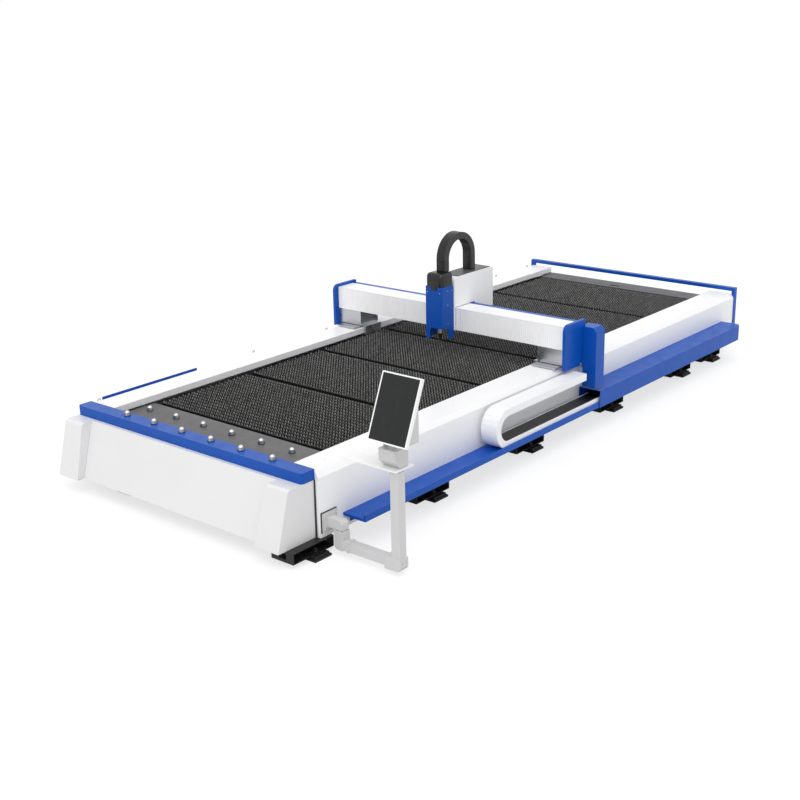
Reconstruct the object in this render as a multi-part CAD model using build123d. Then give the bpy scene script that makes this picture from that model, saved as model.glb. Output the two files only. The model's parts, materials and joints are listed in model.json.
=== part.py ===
from build123d import *
from math import cos, pi, radians, sin, sqrt, tan
import os

# Fiber laser cutting machine with a flat open bed, a travelling gantry and an operator console.
# Millimetres. X runs across the bed, Y runs along it away from the operator, Z is up.
# While the parts are made, the front edge of the front bar is at Y 0 and the floor is at Z 0.
# At the end everything moves together, so that the origin is under the middle of the machine.

# Overall bed
side_half_width = 1490.0
bed_rear_y = 7570.0
cover_bottom_z = 140.0
cover_sheet = 4.0
table_half_width = 1138.0
cut_past = 1.0

# Front bar
bar_half_width = side_half_width - 40.0
bar_depth = 151.0
bar_top_z = 740.0
bar_height = 93.0
bar_corner_radius = 30.0
bar_bottom_z = bar_top_z - bar_height

# Front housings and the panel between them
pilaster_top_inner_x = side_half_width - 285.0
pilaster_top_outer_x = side_half_width - 45.0
pilaster_bottom_inner_x = side_half_width - 330.0
pilaster_bottom_outer_x = side_half_width - 50.0
pilaster_top_reach = 150.0
pilaster_bottom_reach = 290.0
pilaster_rear_y = 141.0
pilaster_edge = 18.0
panel_top_reach = 38.0
panel_bottom_reach = 220.0
panel_flange = 45.0
panel_sheet = 3.0
panel_gap = 1.5

# Side beam covers
cover_top_z = 714.0
cover_bevel_width = 35.0
cover_bevel_drop = 49.0
cover_joint_drop = 6.0
cover_joint_z = cover_top_z - cover_bevel_drop - cover_joint_drop
cover_inner_x = table_half_width + 32.0
cover_lip_bottom_z = 652.0
cover_return = 60.0
cover_bottom_flange = 40.0

# Welded bed
tube_outer_x = side_half_width - 70.0
tube_width = 220.0
tube_top_z = 590.0
tube_height = 260.0
tube_wall = 10.0
tube_inner_x = tube_outer_x - tube_width
front_beam_half_width = pilaster_bottom_inner_x - 10.0
front_beam_front_y = 20.0
front_beam_bottom_z = 450.0
cross_width = 80.0
cross_bottom_z = 380.0
cross_top_z = 540.0
cross_wall = 6.0
bracket_sheet = 8.0
bracket_inner_x = tube_outer_x - 70.0
bracket_bottom_z = 300.0
bracket_rise = 65.0

# Loading deck and rear deck
deck_top_z = 648.0
deck_sheet = 8.0
deck_end_y = 650.0
rear_deck_start_y = 7280.0
deck_support_depth = 110.0
rear_slot_length = 150.0
rear_slot_width = 34.0
rear_slot_x = -140.0

# Slat bays
slat_top_z = 650.0
slat_height = 90.0
slat_thickness = 4.0
slat_pitch = 60.0
slat_end_x = table_half_width - 8.0
slat_seat_gap = 0.5
bay_start_y = 668.0
first_bay_length = 1212.0
bay_length = 1080.0
bay_count = 6
bay_gap = 8.0
tray_bar = 8.0
tray_top_z = 610.0
comb_x = table_half_width - 24.0
support_x = comb_x / 2

# Ball transfer units
ball_radius = 22.0
ball_clearance = 0.3
ball_floor = 2.0
ball_housing_foot_radius = 34.0
ball_housing_top_radius = 27.0
ball_housing_height = 30.0
ball_bands = 5
ball_pitch = 374.0
ball_count = 6
bar_ball_start_x = -835.0
bar_ball_y = 92.0
deck_ball_start_x = -1000.0
deck_ball_y = 480.0

# Feet
foot_start_y = 92.0
left_first_foot_y = 330.0
foot_pitch = 1548.0
foot_pitch_count = 5
last_foot_y = 7040.0
foot_outer_x = side_half_width + 30.0
foot_bracket_width = 250.0
foot_bracket_length = 475.0
foot_bracket_lead = 59.0
foot_top_z = 150.0
foot_plate = 9.0
foot_base_z = 41.0
foot_window_length = 85.0
foot_window_height = 50.0
foot_window_z = 68.0
pad_outer_x = side_half_width + 80.0
pad_width = 190.0
pad_length = 195.0
pad_upper_margin = 14.0
front_pad_x = -856.0
leg_width = 140.0
front_post_width = 70.0
leg_inner_x = tube_outer_x - 158.0
stud_radius = 14.0
nut_radius = 25.0
nut_height = 18.0
stud_end = 14.0

# Lengthwise rails and racks
rail_x = tube_outer_x - 170.0
rail_width = 30.0
rail_height = 28.0
rail_gap = 0.3
rail_start_y = 300.0
rail_end_y = 7470.0
y_rack_x = tube_outer_x - 98.0
y_rack_width = 25.0
y_rack_height = 30.0
truck_width = 72.0
truck_top_z = 628.0
truck_length = 140.0
truck_skirt_rise = 9.0
arm_thickness = 16.0
arm_reach_x = rail_x + 45.0
web_outer_x = table_half_width + 20.0
web_thickness = 14.0

# Rear frame
rear_frame_half_width = side_half_width + 10.0
rear_frame_depth = 65.0
rear_frame_top_z = 786.0
rear_frame_bar_bottom_z = 745.0
rear_post_width = 41.0
rear_post_bottom_z = 250.0

# Right-hand cable tray and trough
wall_gap = 0.5
tray_start_y = 425.0
tray_outer_x = side_half_width + 245.0
tray_lip_z = 310.0
tray_lip_width = 16.0
tray_floor_z = 277.0
tray_bottom_z = 250.0
tray_sheet = 4.0
trough_start_y = 4048.0
trough_end_y = 7275.0
trough_outer_x = side_half_width + 255.0
trough_top_z = 430.0
trough_corner_radius = 60.0
gusset_drop = 80.0
gusset_reach = 130.0

# Left-hand trim
strip_start_y = 310.0
strip_end_y = 1501.0
strip_rise = 14.0
strip_height = 96.0
strip_sheet = 6.0
eye_radius = 20.0
eye_hole_radius = 10.0
eye_sheet = 10.0
eye_sides = 12
eye_stand_out = 13.0
eye_rise = 6.0
eye_shank = 12.0
eye_rows_y = (282.0, 2315.0, 3458.0, 5100.0, 6756.0, 7480.0)

# Cable chain
chain_inner_x = side_half_width + 40.0
chain_width = 185.0
chain_thickness = 72.0
chain_outer_radius = 195.0
chain_centre_z = 473.0
chain_bend_y = 2480.0
chain_link = 50.0
chain_anchor_y = 4150.0
anchor_length = 60.0
chain_joint_gap = 0.5

# Gantry
gantry_half_width = side_half_width + 40.0
gantry_front_y = 3702.0
gantry_beam_front_y = 3800.0
gantry_rear_y = 4030.0
gantry_bottom_z = 900.0
gantry_top_z = 1142.0
gantry_wall = 10.0
gantry_cover_sheet = 3.0
gantry_cover_rear_y = 3955.0
end_plate_thickness = 38.0
end_plate_front_y = 3650.0
end_plate_rear_y = 4015.0
end_plate_bottom_z = 700.0
end_plate_top_z = 1172.0
end_plate_radius = 70.0
end_plate_notch_length = 78.0
end_plate_notch_height = 26.0
column_front_y = 3973.0
column_depth = 165.0
column_outer_x = gantry_half_width + 195.0
column_bottom_z = 475.0
column_top_z = 1102.0
column_chamfer = 40.0
chain_end_y = 3823.0
tongue_width = 62.0
tongue_bottom_z = 600.0
tongue_top_z = 616.0
flange_bottom_z = 655.0
side_box_inner_x = 1200.0
side_box_front_y = 3705.0
side_box_rear_y = 4000.0
side_box_base_z = 722.0
side_box_base = 12.0
slide_plate_front_y = 3590.0
slide_plate_outer_x = side_half_width - 5.0
slide_web_front_y = 3722.0
slide_rear_y = 3988.0
bellows_depth = 56.0
bellows_fold = 14.0
bellows_pitch = 30.0
bellows_margin = 1.0
x_rail_half_length = gantry_half_width - 30.0
x_rail_low_z = 955.0
x_rail_high_z = 1065.0
x_rack_z = 1010.0
x_rack_height = 25.0
x_rack_depth = 15.0

# Cross carriage
carriage_left_x = -70.0
carriage_right_x = 160.0
carriage_front_y = 3680.0
carriage_skin = 20.0
carriage_rear_y = 4370.0
carriage_top_z = 1472.0
carriage_bridge_z = 1150.0
carriage_tail_z = 1039.0
carriage_tail_front_y = 4038.0
carriage_radius = 60.0
carriage_bellows_gap = 1.0
cap_plate = 8.0
cap_margin = 12.0
z_rail_x = (5.0, 85.0)
z_rail_width = 20.0
z_rail_depth = 22.0
z_rail_bottom_z = 905.0
z_rail_top_z = 1400.0

# Cutting head
head_left_x = -75.0
head_right_x = 150.0
head_front_y = 3480.0
head_bottom_z = 830.0
head_top_z = 1395.0
head_sheet = 5.0
head_gap = 2.0
head_radius = 16.0
head_leg_width = 58.0
head_arch_radius = 40.0
head_arch_height = 120.0
head_cap_top_z = 1540.0
head_cap_radius = 62.0
head_cap_edge = 34.0
head_plate_bottom_z = 1030.0
head_plate_top_z = 1340.0
head_plate_depth = 20.0
head_block_rows_z = (1045.0, 1255.0)
head_block_height = 70.0
head_block_width = 38.0
head_axis_x = 45.0
head_axis_y = 3575.0
head_body_width = 92.0
head_body_depth = 80.0
head_body_bottom_z = 980.0
head_body_top_z = 1300.0
head_neck_radius = 34.0
head_neck_bottom_z = 880.0
nozzle_tip_z = 800.0
nozzle_tip_radius = 7.0
nozzle_bore_radius = 2.0
nozzle_seat_radius = 30.0

# Cable arch over the head
arch_centre_y = 3864.0
arch_centre_z = 1658.0
arch_outer_radius = 263.0
arch_band = 71.0
arch_left_x = -15.0
arch_right_x = 100.0

# Console
console_axis_x = side_half_width + 140.0
console_y = 254.0
console_tube = 80.0
console_tube_wall = 5.0
wall_plate_z0 = 184.0
wall_plate_z1 = 350.0
wall_plate_y0 = 165.0
wall_plate_y1 = 342.0
wall_plate_sheet = 12.0
wall_pad_sheet = 8.0
wall_pad_margin = 18.0
stub_z = 268.0
swivel_gap = 0.3
swivel_disc_radius = 36.0
swivel_disc_height = 8.0
arm_z = 100.0
elbow_radius = 38.0
collar_x = console_axis_x + 82.0
collar_length = 28.0
collar_rise = 6.0
sleeve_rise = 6.0
pole_x = console_axis_x + 603.0
pole_size = 84.0
pole_top_z = 876.0
pole_drop = 58.0
foot_elbow_rise = 10.0
foot_sleeve = 60.0
tray_plate_z = 884.0
tray_plate_thickness = 12.0
tray_plate_x0 = pole_x - 536.0
tray_plate_x1 = pole_x + 46.0
tray_plate_y0 = 188.0
tray_plate_y1 = 402.0
tray_plate_corner = 10.0
tray_plate_notch_x = pole_x - 343.0
tray_plate_notch = 60.0
turret_x0 = pole_x - 141.0
turret_x1 = pole_x + 29.0
turret_y0 = 202.0
turret_y1 = 356.0
turret_top_z = 1050.0
turret_edge = 60.0
hinge_z = 1092.0
hinge_y = 268.0
hinge_pin_radius = 9.0
hinge_pin_gap = 0.05
hinge_ear = 14.0
hinge_ear_radius = 24.0
hinge_half_width = 60.0
hinge_side_gap = 0.5
monitor_x = pole_x + 4.0
monitor_y = 228.0
monitor_z = 1381.0
monitor_width = 383.0
monitor_height = 542.0
monitor_depth = 36.0
monitor_tilt = 22.4
monitor_bezel = 12.0
monitor_gap = 0.5
monitor_corner = 10.0
screen_depth = 6.0
wedge_half_width = 150.0
wedge_height = 300.0
wedge_rear_y = 336.0
wedge_bottom_z = 1120.0


def block(x0, x1, y0, y1, z0, z1):
    """A box between two corners."""
    return Pos((x0 + x1) / 2, (y0 + y1) / 2, (z0 + z1) / 2) * Box(x1 - x0, y1 - y0, z1 - z0)


def prism_x(points, x0, x1):
    """A closed outline of (y, z) points carried along X."""
    outline = make_face(Polyline([(x0, y, z) for y, z in points], close=True))
    return extrude(outline, x1 - x0, dir=(1, 0, 0))


def prism_y(points, y0, y1):
    """A closed outline of (x, z) points carried along Y."""
    outline = make_face(Polyline([(x, y0, z) for x, z in points], close=True))
    return extrude(outline, y1 - y0, dir=(0, 1, 0))


def prism_z(points, z0, z1):
    """A closed outline of (x, y) points carried along Z."""
    outline = make_face(Polyline([(x, y, z0) for x, y in points], close=True))
    return extrude(outline, z1 - z0, dir=(0, 0, 1))


def folded(path, sheet):
    """The outline of a folded sheet: the path, and the path moved to its left by one thickness."""
    runs = [(Vector(*b) - Vector(*a)).normalized() for a, b in zip(path, path[1:])]
    sides = [Vector(-run.Y, run.X) for run in runs]
    inner = []
    for index, point in enumerate(path):
        before = sides[max(index - 1, 0)]
        after = sides[min(index, len(sides) - 1)]
        shift = (before + after) * (sheet / (1 + before.dot(after)))
        inner.append((point[0] + shift.X, point[1] + shift.Y))
    return list(path) + inner[::-1]


def rod_x(x0, x1, y, z, radius):
    """A round bar along X."""
    return Pos((x0 + x1) / 2, y, z) * Rot(0, 90, 0) * Cylinder(radius, x1 - x0)


def rod_z(x, y, z0, z1, radius):
    """A round bar along Z."""
    return Pos(x, y, (z0 + z1) / 2) * Cylinder(radius, z1 - z0)


def regular_points(x, y, radius, count):
    """The corners of a regular outline round a centre."""
    return [(x + radius * cos(2 * pi * k / count), y + radius * sin(2 * pi * k / count)) for k in range(count)]


def hexagon_nut(x, y, z0, height, radius):
    """A hexagonal nut standing on z0."""
    return prism_z(regular_points(x, y, radius, 6), z0, z0 + height)


def square_tube_y(x0, x1, y0, y1, z0, z1, wall):
    """A rectangular tube along Y, open at its ends."""
    outer = block(x0, x1, y0, y1, z0, z1)
    return outer - block(x0 + wall, x1 - wall, y0 - cut_past, y1 + cut_past, z0 + wall, z1 - wall)


def square_tube_x(x0, x1, y0, y1, z0, z1, wall):
    """A rectangular tube along X, open at its ends."""
    outer = block(x0, x1, y0, y1, z0, z1)
    return outer - block(x0 - cut_past, x1 + cut_past, y0 + wall, y1 - wall, z0 + wall, z1 - wall)


def left_of(shape):
    """The same piece on the left-hand side."""
    return mirror(shape, about=Plane.YZ)


def both_sides(shape):
    """A right-hand piece and its left-hand twin."""
    return [shape, left_of(shape)]


def foot_rows():
    """The Y of the right-hand side feet."""
    return [foot_start_y + foot_pitch * k for k in range(foot_pitch_count)] + [last_foot_y]


def left_foot_rows():
    """The Y of the left-hand side feet: the first one stands behind its housing."""
    return [left_first_foot_y] + foot_rows()[1:]


def at_feet(make):
    """A right-hand piece made at each foot of both sides."""
    return [make(y) for y in foot_rows()] + [left_of(make(y)) for y in left_foot_rows()]


def bay_spans():
    """The start and end of each slat bay."""
    starts = [bay_start_y] + [bay_start_y + first_bay_length + bay_length * k for k in range(bay_count - 1)]
    lengths = [first_bay_length] + [bay_length] * (bay_count - 1)
    return [(start, start + length) for start, length in zip(starts, lengths)]


def slat_rows(start, end):
    """The Y of each slat of a bay, centred in it."""
    room = end - start - bay_gap - 2 * tray_bar - slat_pitch / 2
    count = int(room // slat_pitch) + 1
    first = (start + end) / 2 - slat_pitch * (count - 1) / 2
    return [first + slat_pitch * k for k in range(count)]


def bar_ball_rows():
    """The X of each ball unit on the front bar."""
    return [bar_ball_start_x + ball_pitch * k for k in range(ball_count)]


def deck_ball_rows():
    """The X of each ball unit on the loading deck."""
    return [deck_ball_start_x + ball_pitch * k for k in range(ball_count)]


def ball_centre_z(surface_z):
    """The height of a ball's centre over the surface that its unit stands on."""
    return surface_z + ball_floor + ball_clearance + ball_radius


def make_front_bar():
    """The blue bar across the front, rounded at its two front corners."""
    bar = block(-bar_half_width, bar_half_width, 0, bar_depth, bar_bottom_z, bar_top_z)
    front_corners = bar.edges().filter_by(Axis.Z).group_by(Axis.Y)[0]
    return fillet(front_corners, bar_corner_radius)


def make_ball_cup(x, y, surface_z):
    """A tapered housing that stands on a surface, bored from above for its ball."""
    middle_z = surface_z + ball_housing_height / 2
    housing = Pos(x, y, middle_z) * Cone(ball_housing_foot_radius, ball_housing_top_radius, ball_housing_height)
    top_z = surface_z + ball_housing_height + cut_past
    return housing - rod_z(x, y, surface_z + ball_floor, top_z, ball_radius + ball_clearance)


def make_ball_cups():
    """The housings on the bar and the housings on the loading deck."""
    cups = [make_ball_cup(x, bar_ball_y, bar_top_z) for x in bar_ball_rows()]
    return cups + [make_ball_cup(x, deck_ball_y, deck_top_z) for x in deck_ball_rows()]


def make_balls(rows, y, surface_z):
    """The balls of one row, each turned round the line that the row rolls on."""
    turns = [pi * k / ball_bands for k in range(ball_bands + 1)]
    z = ball_centre_z(surface_z)
    balls = []
    for x in rows:
        profile = [(x - ball_radius * cos(turn), y, z + ball_radius * sin(turn)) for turn in turns]
        face = make_face(Polyline(profile, close=True))
        balls.append(revolve(face, Axis((x, y, z), (1, 0, 0))))
    return balls


def make_pilaster():
    """The tapered white housing at the right front corner: its side outline crossed with its front outline."""
    lean = (pilaster_bottom_reach - pilaster_top_reach) / (bar_bottom_z - cover_bottom_z)
    side = [
        (pilaster_rear_y, cover_bottom_z),
        (-pilaster_bottom_reach, cover_bottom_z),
        (-pilaster_top_reach - pilaster_edge * lean, bar_bottom_z - pilaster_edge),
        (-pilaster_top_reach + pilaster_edge, bar_bottom_z),
        (pilaster_rear_y, bar_bottom_z),
    ]
    front = [
        (pilaster_bottom_inner_x, cover_bottom_z),
        (pilaster_bottom_outer_x, cover_bottom_z),
        (pilaster_top_outer_x, bar_bottom_z),
        (pilaster_top_inner_x, bar_bottom_z),
    ]
    from_side = prism_x(side, pilaster_bottom_inner_x, pilaster_top_outer_x)
    return from_side & prism_y(front, -pilaster_bottom_reach, pilaster_rear_y)


def make_front_panel():
    """The sloped sheet between the front housings, hooked under the bar and turned in at the bottom."""
    path = [
        (-panel_bottom_reach + panel_flange, cover_bottom_z),
        (-panel_bottom_reach, cover_bottom_z),
        (-panel_top_reach, bar_bottom_z),
        (front_beam_front_y, bar_bottom_z),
    ]
    sheet = prism_x(folded(path[::-1], panel_sheet), -pilaster_top_inner_x, pilaster_top_inner_x)
    top_x = pilaster_top_inner_x - panel_gap
    bottom_x = pilaster_bottom_inner_x - panel_gap
    sides = [(-bottom_x, cover_bottom_z), (bottom_x, cover_bottom_z), (top_x, bar_bottom_z), (-top_x, bar_bottom_z)]
    return sheet & prism_y(sides, -pilaster_bottom_reach, bar_depth)


def make_side_cover():
    """The long white side sheet with its bottom flange and the return at its front end."""
    outer_x = side_half_width
    path = [
        (outer_x - cover_bottom_flange, cover_bottom_z),
        (outer_x, cover_bottom_z),
        (outer_x, cover_joint_z),
    ]
    sheet = prism_y(folded(path, cover_sheet), bar_depth, bed_rear_y)
    end = block(
        outer_x - cover_return, outer_x - cover_sheet / 2, bar_depth, bar_depth + cover_sheet,
        cover_bottom_z + cover_sheet / 2, cover_joint_z,
    )
    return sheet + end


def make_beam_cover():
    """The bevelled top sheet over one side beam, turned down on its inner side and closed at its front corner."""
    outer_x = side_half_width
    bevel_z = cover_top_z - cover_bevel_drop
    path = [
        (outer_x, cover_joint_z),
        (outer_x, bevel_z),
        (outer_x - cover_bevel_width, cover_top_z),
        (cover_inner_x, cover_top_z),
        (cover_inner_x, cover_lip_bottom_z),
    ]
    sheet = prism_y(folded(path, cover_sheet), bar_depth, bed_rear_y)
    end = path[:3] + [(outer_x - cover_return, cover_top_z), (outer_x - cover_return, cover_joint_z)]
    return sheet + prism_y(end, bar_depth, bar_depth + cover_sheet)


def make_bed_tubes():
    """The two main box tubes with their closed legs."""
    tube = square_tube_y(
        tube_inner_x, tube_outer_x, pilaster_rear_y, bed_rear_y - cover_sheet,
        tube_top_z - tube_height, tube_top_z, tube_wall,
    )
    return both_sides(tube)


def make_bed_leg(y):
    """The leg under the right-hand main tube at one foot, kept behind the front housing."""
    half = leg_width / 2
    y0 = max(y - half, pilaster_rear_y)
    return block(leg_inner_x, leg_inner_x + leg_width, y0, y + half, foot_top_z, tube_top_z - tube_height)


def make_cross_members():
    """The front beam, and a tube between the main tubes at each end of the bays."""
    half = tube_inner_x
    members = [
        square_tube_x(
            -front_beam_half_width, front_beam_half_width, front_beam_front_y, pilaster_rear_y,
            front_beam_bottom_z, bar_bottom_z, cross_wall,
        )
    ]
    deck_base_z = deck_top_z - deck_sheet
    for y in (pilaster_rear_y, bed_rear_y - cover_sheet - deck_support_depth):
        members.append(
            square_tube_x(-half, half, y, y + deck_support_depth, cross_bottom_z, deck_base_z, cross_wall)
        )
    for start, end in bay_spans():
        members.append(
            square_tube_x(-half, half, start - cross_width / 2, start + cross_width / 2,
                          cross_bottom_z, cross_top_z, cross_wall)
        )
    rear = bay_spans()[-1][1]
    members.append(
        square_tube_x(-half, half, rear - cross_width / 2, rear + cross_width / 2,
                      cross_bottom_z, cross_top_z, cross_wall)
    )
    return members


def make_cover_brackets():
    """Plates from the main tubes out to the covers, one beside each foot."""
    inside_x = side_half_width - cover_sheet
    bevel_z = cover_top_z - cover_bevel_drop
    under_z = cover_top_z - cover_sheet
    slope = cover_bevel_drop / cover_bevel_width
    lean = cover_sheet * sqrt(1 + slope * slope) / slope
    corner_x = side_half_width - cover_bevel_width - lean + cover_sheet / slope
    outline = [
        (bracket_inner_x, tube_top_z),
        (tube_outer_x, tube_top_z),
        (tube_outer_x, bracket_bottom_z + bracket_rise),
        (inside_x, bracket_bottom_z),
        (inside_x, bevel_z - lean * slope + cover_sheet * slope),
        (corner_x, under_z),
        (bracket_inner_x, under_z),
    ]
    plates = []
    for y in foot_rows():
        y0 = max(y, bar_depth + cover_sheet)
        plates += both_sides(prism_y(outline, y0, y0 + bracket_sheet))
    return plates


def make_loading_deck():
    """The grey plate behind the bar, turned down at its rear."""
    path = [
        (deck_end_y, cross_top_z),
        (deck_end_y, deck_top_z),
        (bar_depth, deck_top_z),
    ]
    return prism_x(folded(path, deck_sheet), -table_half_width, table_half_width)


def make_rear_deck():
    """The grey plate at the far end with its hand slot."""
    path = [
        (bed_rear_y - cover_sheet, deck_top_z),
        (rear_deck_start_y, deck_top_z),
        (rear_deck_start_y, cross_top_z),
    ]
    deck = prism_x(folded(path, deck_sheet), -table_half_width, table_half_width)
    mid_y = (rear_deck_start_y + bed_rear_y - deck_support_depth) / 2
    slot = block(
        rear_slot_x, rear_slot_x + rear_slot_length, mid_y - rear_slot_width / 2, mid_y + rear_slot_width / 2,
        deck_top_z - deck_sheet - cut_past, deck_top_z + cut_past,
    )
    return deck - slot


def make_slats(start, end):
    """The upright slats of one bay, each a separate strip."""
    strips = []
    for y in slat_rows(start, end):
        strips.append(
            block(-slat_end_x, slat_end_x, y - slat_thickness / 2, y + slat_thickness / 2,
                  slat_top_z - slat_height, slat_top_z)
        )
    return strips


def make_slat_tray(start, end):
    """The frame that one bay of slats drops into: bars that carry them, and a slotted comb down the middle."""
    y0 = start + bay_gap / 2
    y1 = end - bay_gap / 2
    slat_base_z = slat_top_z - slat_height
    half_slot = slat_thickness / 2 + slat_seat_gap
    outline = [(y0, cross_top_z), (y1, cross_top_z), (y1, tray_top_z)]
    for y in reversed(slat_rows(start, end)):
        outline += [
            (y + half_slot, tray_top_z),
            (y + half_slot, slat_base_z),
            (y - half_slot, slat_base_z),
            (y - half_slot, tray_top_z),
        ]
    outline.append((y0, tray_top_z))
    half_bar = tray_bar / 2
    frame = prism_x(outline, -half_bar, half_bar)
    for x in (-comb_x, -support_x, support_x, comb_x):
        frame += block(x - half_bar, x + half_bar, y0, y1, cross_top_z, slat_base_z)
    for edge in (y0, y1 - tray_bar):
        frame += block(-comb_x - half_bar, comb_x + half_bar, edge, edge + tray_bar, cross_top_z, tray_top_z)
    return frame


def make_rear_panel():
    """The white sheet across the back, between the side covers."""
    half = side_half_width - cover_sheet
    return block(-half, half, bed_rear_y - cover_sheet, bed_rear_y, cover_bottom_z + cover_sheet, deck_top_z)


def make_rear_frame():
    """The blue frame that stands behind the bed, its two posts joined by a deep bar."""
    y0 = bed_rear_y
    y1 = bed_rear_y + rear_frame_depth
    half = rear_frame_half_width
    frame = block(-half, half, y0, y1, rear_frame_bar_bottom_z, rear_frame_top_z)
    post = block(half - rear_post_width, half, y0, y1, rear_post_bottom_z, rear_frame_top_z)
    return frame + post + left_of(post)


def make_y_rails():
    """The lengthwise rails on the main tubes."""
    rail = block(rail_x - rail_width / 2, rail_x + rail_width / 2, rail_start_y, rail_end_y,
                 tube_top_z, tube_top_z + rail_height)
    return both_sides(rail)


def make_y_racks():
    """The lengthwise racks beside the rails."""
    rack = block(y_rack_x - y_rack_width / 2, y_rack_x + y_rack_width / 2, rail_start_y, rail_end_y,
                 tube_top_z, tube_top_z + y_rack_height)
    return both_sides(rack)


def make_cable_tray():
    """The open blue channel that the chain runs in, its outer lip folded over."""
    inner_x = side_half_width + wall_gap
    path = [
        (tray_outer_x, tray_bottom_z),
        (tray_outer_x, tray_lip_z),
        (tray_outer_x - tray_lip_width, tray_lip_z),
        (tray_outer_x - tray_lip_width, tray_floor_z),
        (inner_x, tray_floor_z),
        (inner_x, tray_bottom_z),
    ]
    tray = prism_y(folded(path, tray_sheet), tray_start_y, trough_start_y)
    cap = block(inner_x + tray_sheet / 2, tray_outer_x - tray_sheet / 2, tray_start_y, tray_start_y + tray_sheet,
                tray_bottom_z, tray_floor_z)
    return tray + cap


def make_cable_trough():
    """The closed blue trough behind the tray: open at its front end and rounded at its rear corner."""
    inner_x = side_half_width + wall_gap
    outer = block(inner_x, trough_outer_x, trough_start_y, trough_end_y, tray_bottom_z, trough_top_z)
    corner = outer.edges().filter_by(Axis.Z).group_by(Axis.Y)[-1].group_by(Axis.X)[-1]
    outer = fillet(corner, trough_corner_radius)
    x0 = inner_x + tray_sheet
    x1 = trough_outer_x - tray_sheet
    y1 = trough_end_y - tray_sheet
    inside = block(x0, x1, trough_start_y - cut_past, y1, tray_floor_z, trough_top_z - tray_sheet)
    corner = inside.edges().filter_by(Axis.Z).group_by(Axis.Y)[-1].group_by(Axis.X)[-1]
    inside = fillet(corner, trough_corner_radius - tray_sheet)
    under = block(x0, x1, trough_start_y + tray_sheet, y1 - trough_corner_radius,
                  tray_bottom_z - cut_past, tray_floor_z - tray_sheet)
    return outer - inside - under


def make_tray_gussets():
    """Three-cornered plates that carry the tray and the trough on the side wall."""
    inner_x = side_half_width + wall_gap
    outline = [
        (inner_x, tray_bottom_z),
        (inner_x, tray_bottom_z - gusset_drop),
        (inner_x + gusset_reach, tray_bottom_z),
    ]
    rows = [tray_start_y + cross_width] + [y + foot_bracket_length for y in foot_rows()[:-1]]
    return [prism_y(outline, y, y + bracket_sheet) for y in rows]


def make_edge_strip():
    """The short blue strip along the outer edge of the left side beam."""
    top_z = cover_top_z + strip_rise
    outer_x = side_half_width + strip_sheet
    return left_of(block(side_half_width, outer_x, strip_start_y, strip_end_y, top_z - strip_height, top_z))


def make_lifting_eyes():
    """Ring bolts along the left beam, screwed into its bevel from the side."""
    eyes = []
    x0 = side_half_width + eye_stand_out
    x1 = x0 + eye_sheet
    z = cover_top_z - eye_radius + eye_rise
    low_z = z - eye_radius
    high_z = z - eye_hole_radius
    bevel_z = cover_top_z - cover_bevel_drop
    lean = cover_bevel_width / cover_bevel_drop
    shank_outline = [
        (side_half_width - (low_z - bevel_z) * lean, low_z),
        (x0, low_z),
        (x0, high_z),
        (side_half_width - (high_z - bevel_z) * lean, high_z),
    ]
    for y in eye_rows_y:
        ring = prism_x(regular_points(y, z, eye_radius, eye_sides), x0, x1)
        ring -= prism_x(regular_points(y, z, eye_hole_radius, eye_sides), x0 - cut_past, x1 + cut_past)
        shank = prism_y(shank_outline, y - eye_shank / 2, y + eye_shank / 2)
        eyes.append(left_of(ring + shank))
    return eyes


def make_foot_bracket(y):
    """A black channel under the bed with two windowed ends, and its levelling stud and nut on the base plate."""
    x0 = foot_outer_x - foot_bracket_width
    x1 = foot_outer_x
    y1 = y - foot_bracket_lead + foot_bracket_length / 2
    y0 = y1 - foot_bracket_length
    top_z = min(foot_top_z, cover_bottom_z)
    base_z = foot_base_z + foot_plate
    bracket = block(x0, x1, y0, y1, foot_base_z, top_z)
    bracket -= block(x0 - cut_past, x1 + cut_past, y0 + foot_plate, y1 - foot_plate, base_z, top_z - foot_plate)
    mid_x = (x0 + x1) / 2
    bracket -= block(
        mid_x - foot_window_length / 2, mid_x + foot_window_length / 2, y0 - cut_past, y1 + cut_past,
        foot_window_z, foot_window_z + foot_window_height,
    )
    x = pad_outer_x - pad_width / 2
    bracket += hexagon_nut(x, y, base_z, nut_height, nut_radius)
    return bracket + hexagon_nut(x, y, base_z + nut_height, stud_end, stud_radius)


def make_foot_pad(x, y):
    """A stepped pad that stands on the floor."""
    lower = block(x - pad_width / 2, x + pad_width / 2, y - pad_length / 2, y + pad_length / 2, 0, foot_base_z / 2)
    margin = pad_upper_margin
    upper = block(
        x - pad_width / 2 + margin, x + pad_width / 2 - margin,
        y - pad_length / 2 + margin, y + pad_length / 2 - margin,
        foot_base_z / 2, foot_base_z,
    )
    return lower + upper


def make_side_pad(y):
    """The pad under the stud of one right-hand foot."""
    return make_foot_pad(pad_outer_x - pad_width / 2, y)


def make_front_foot():
    """The post and the pad under the front beam."""
    y = (front_beam_front_y + pilaster_rear_y) / 2
    half = front_post_width / 2
    post = block(front_pad_x - half, front_pad_x + half, y - half, y + half, foot_base_z, front_beam_bottom_z)
    return make_foot_pad(front_pad_x, y) + post


def make_chain_run(y0, y1, z0):
    """A straight stretch of the cable chain."""
    return block(chain_inner_x, chain_inner_x + chain_width, y0, y1, z0, z0 + chain_thickness)


def make_chain_bend():
    """The half turn of the chain."""
    x0 = chain_inner_x
    x1 = chain_inner_x + chain_width
    inner_radius = chain_outer_radius - chain_thickness
    ring = rod_x(x0, x1, chain_bend_y, chain_centre_z, chain_outer_radius)
    ring -= rod_x(x0 - cut_past, x1 + cut_past, chain_bend_y, chain_centre_z, inner_radius)
    reach = chain_outer_radius + cut_past
    front = block(x0 - cut_past, x1 + cut_past, chain_bend_y - reach, chain_bend_y,
                  chain_centre_z - reach, chain_centre_z + reach)
    return ring & front


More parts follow.
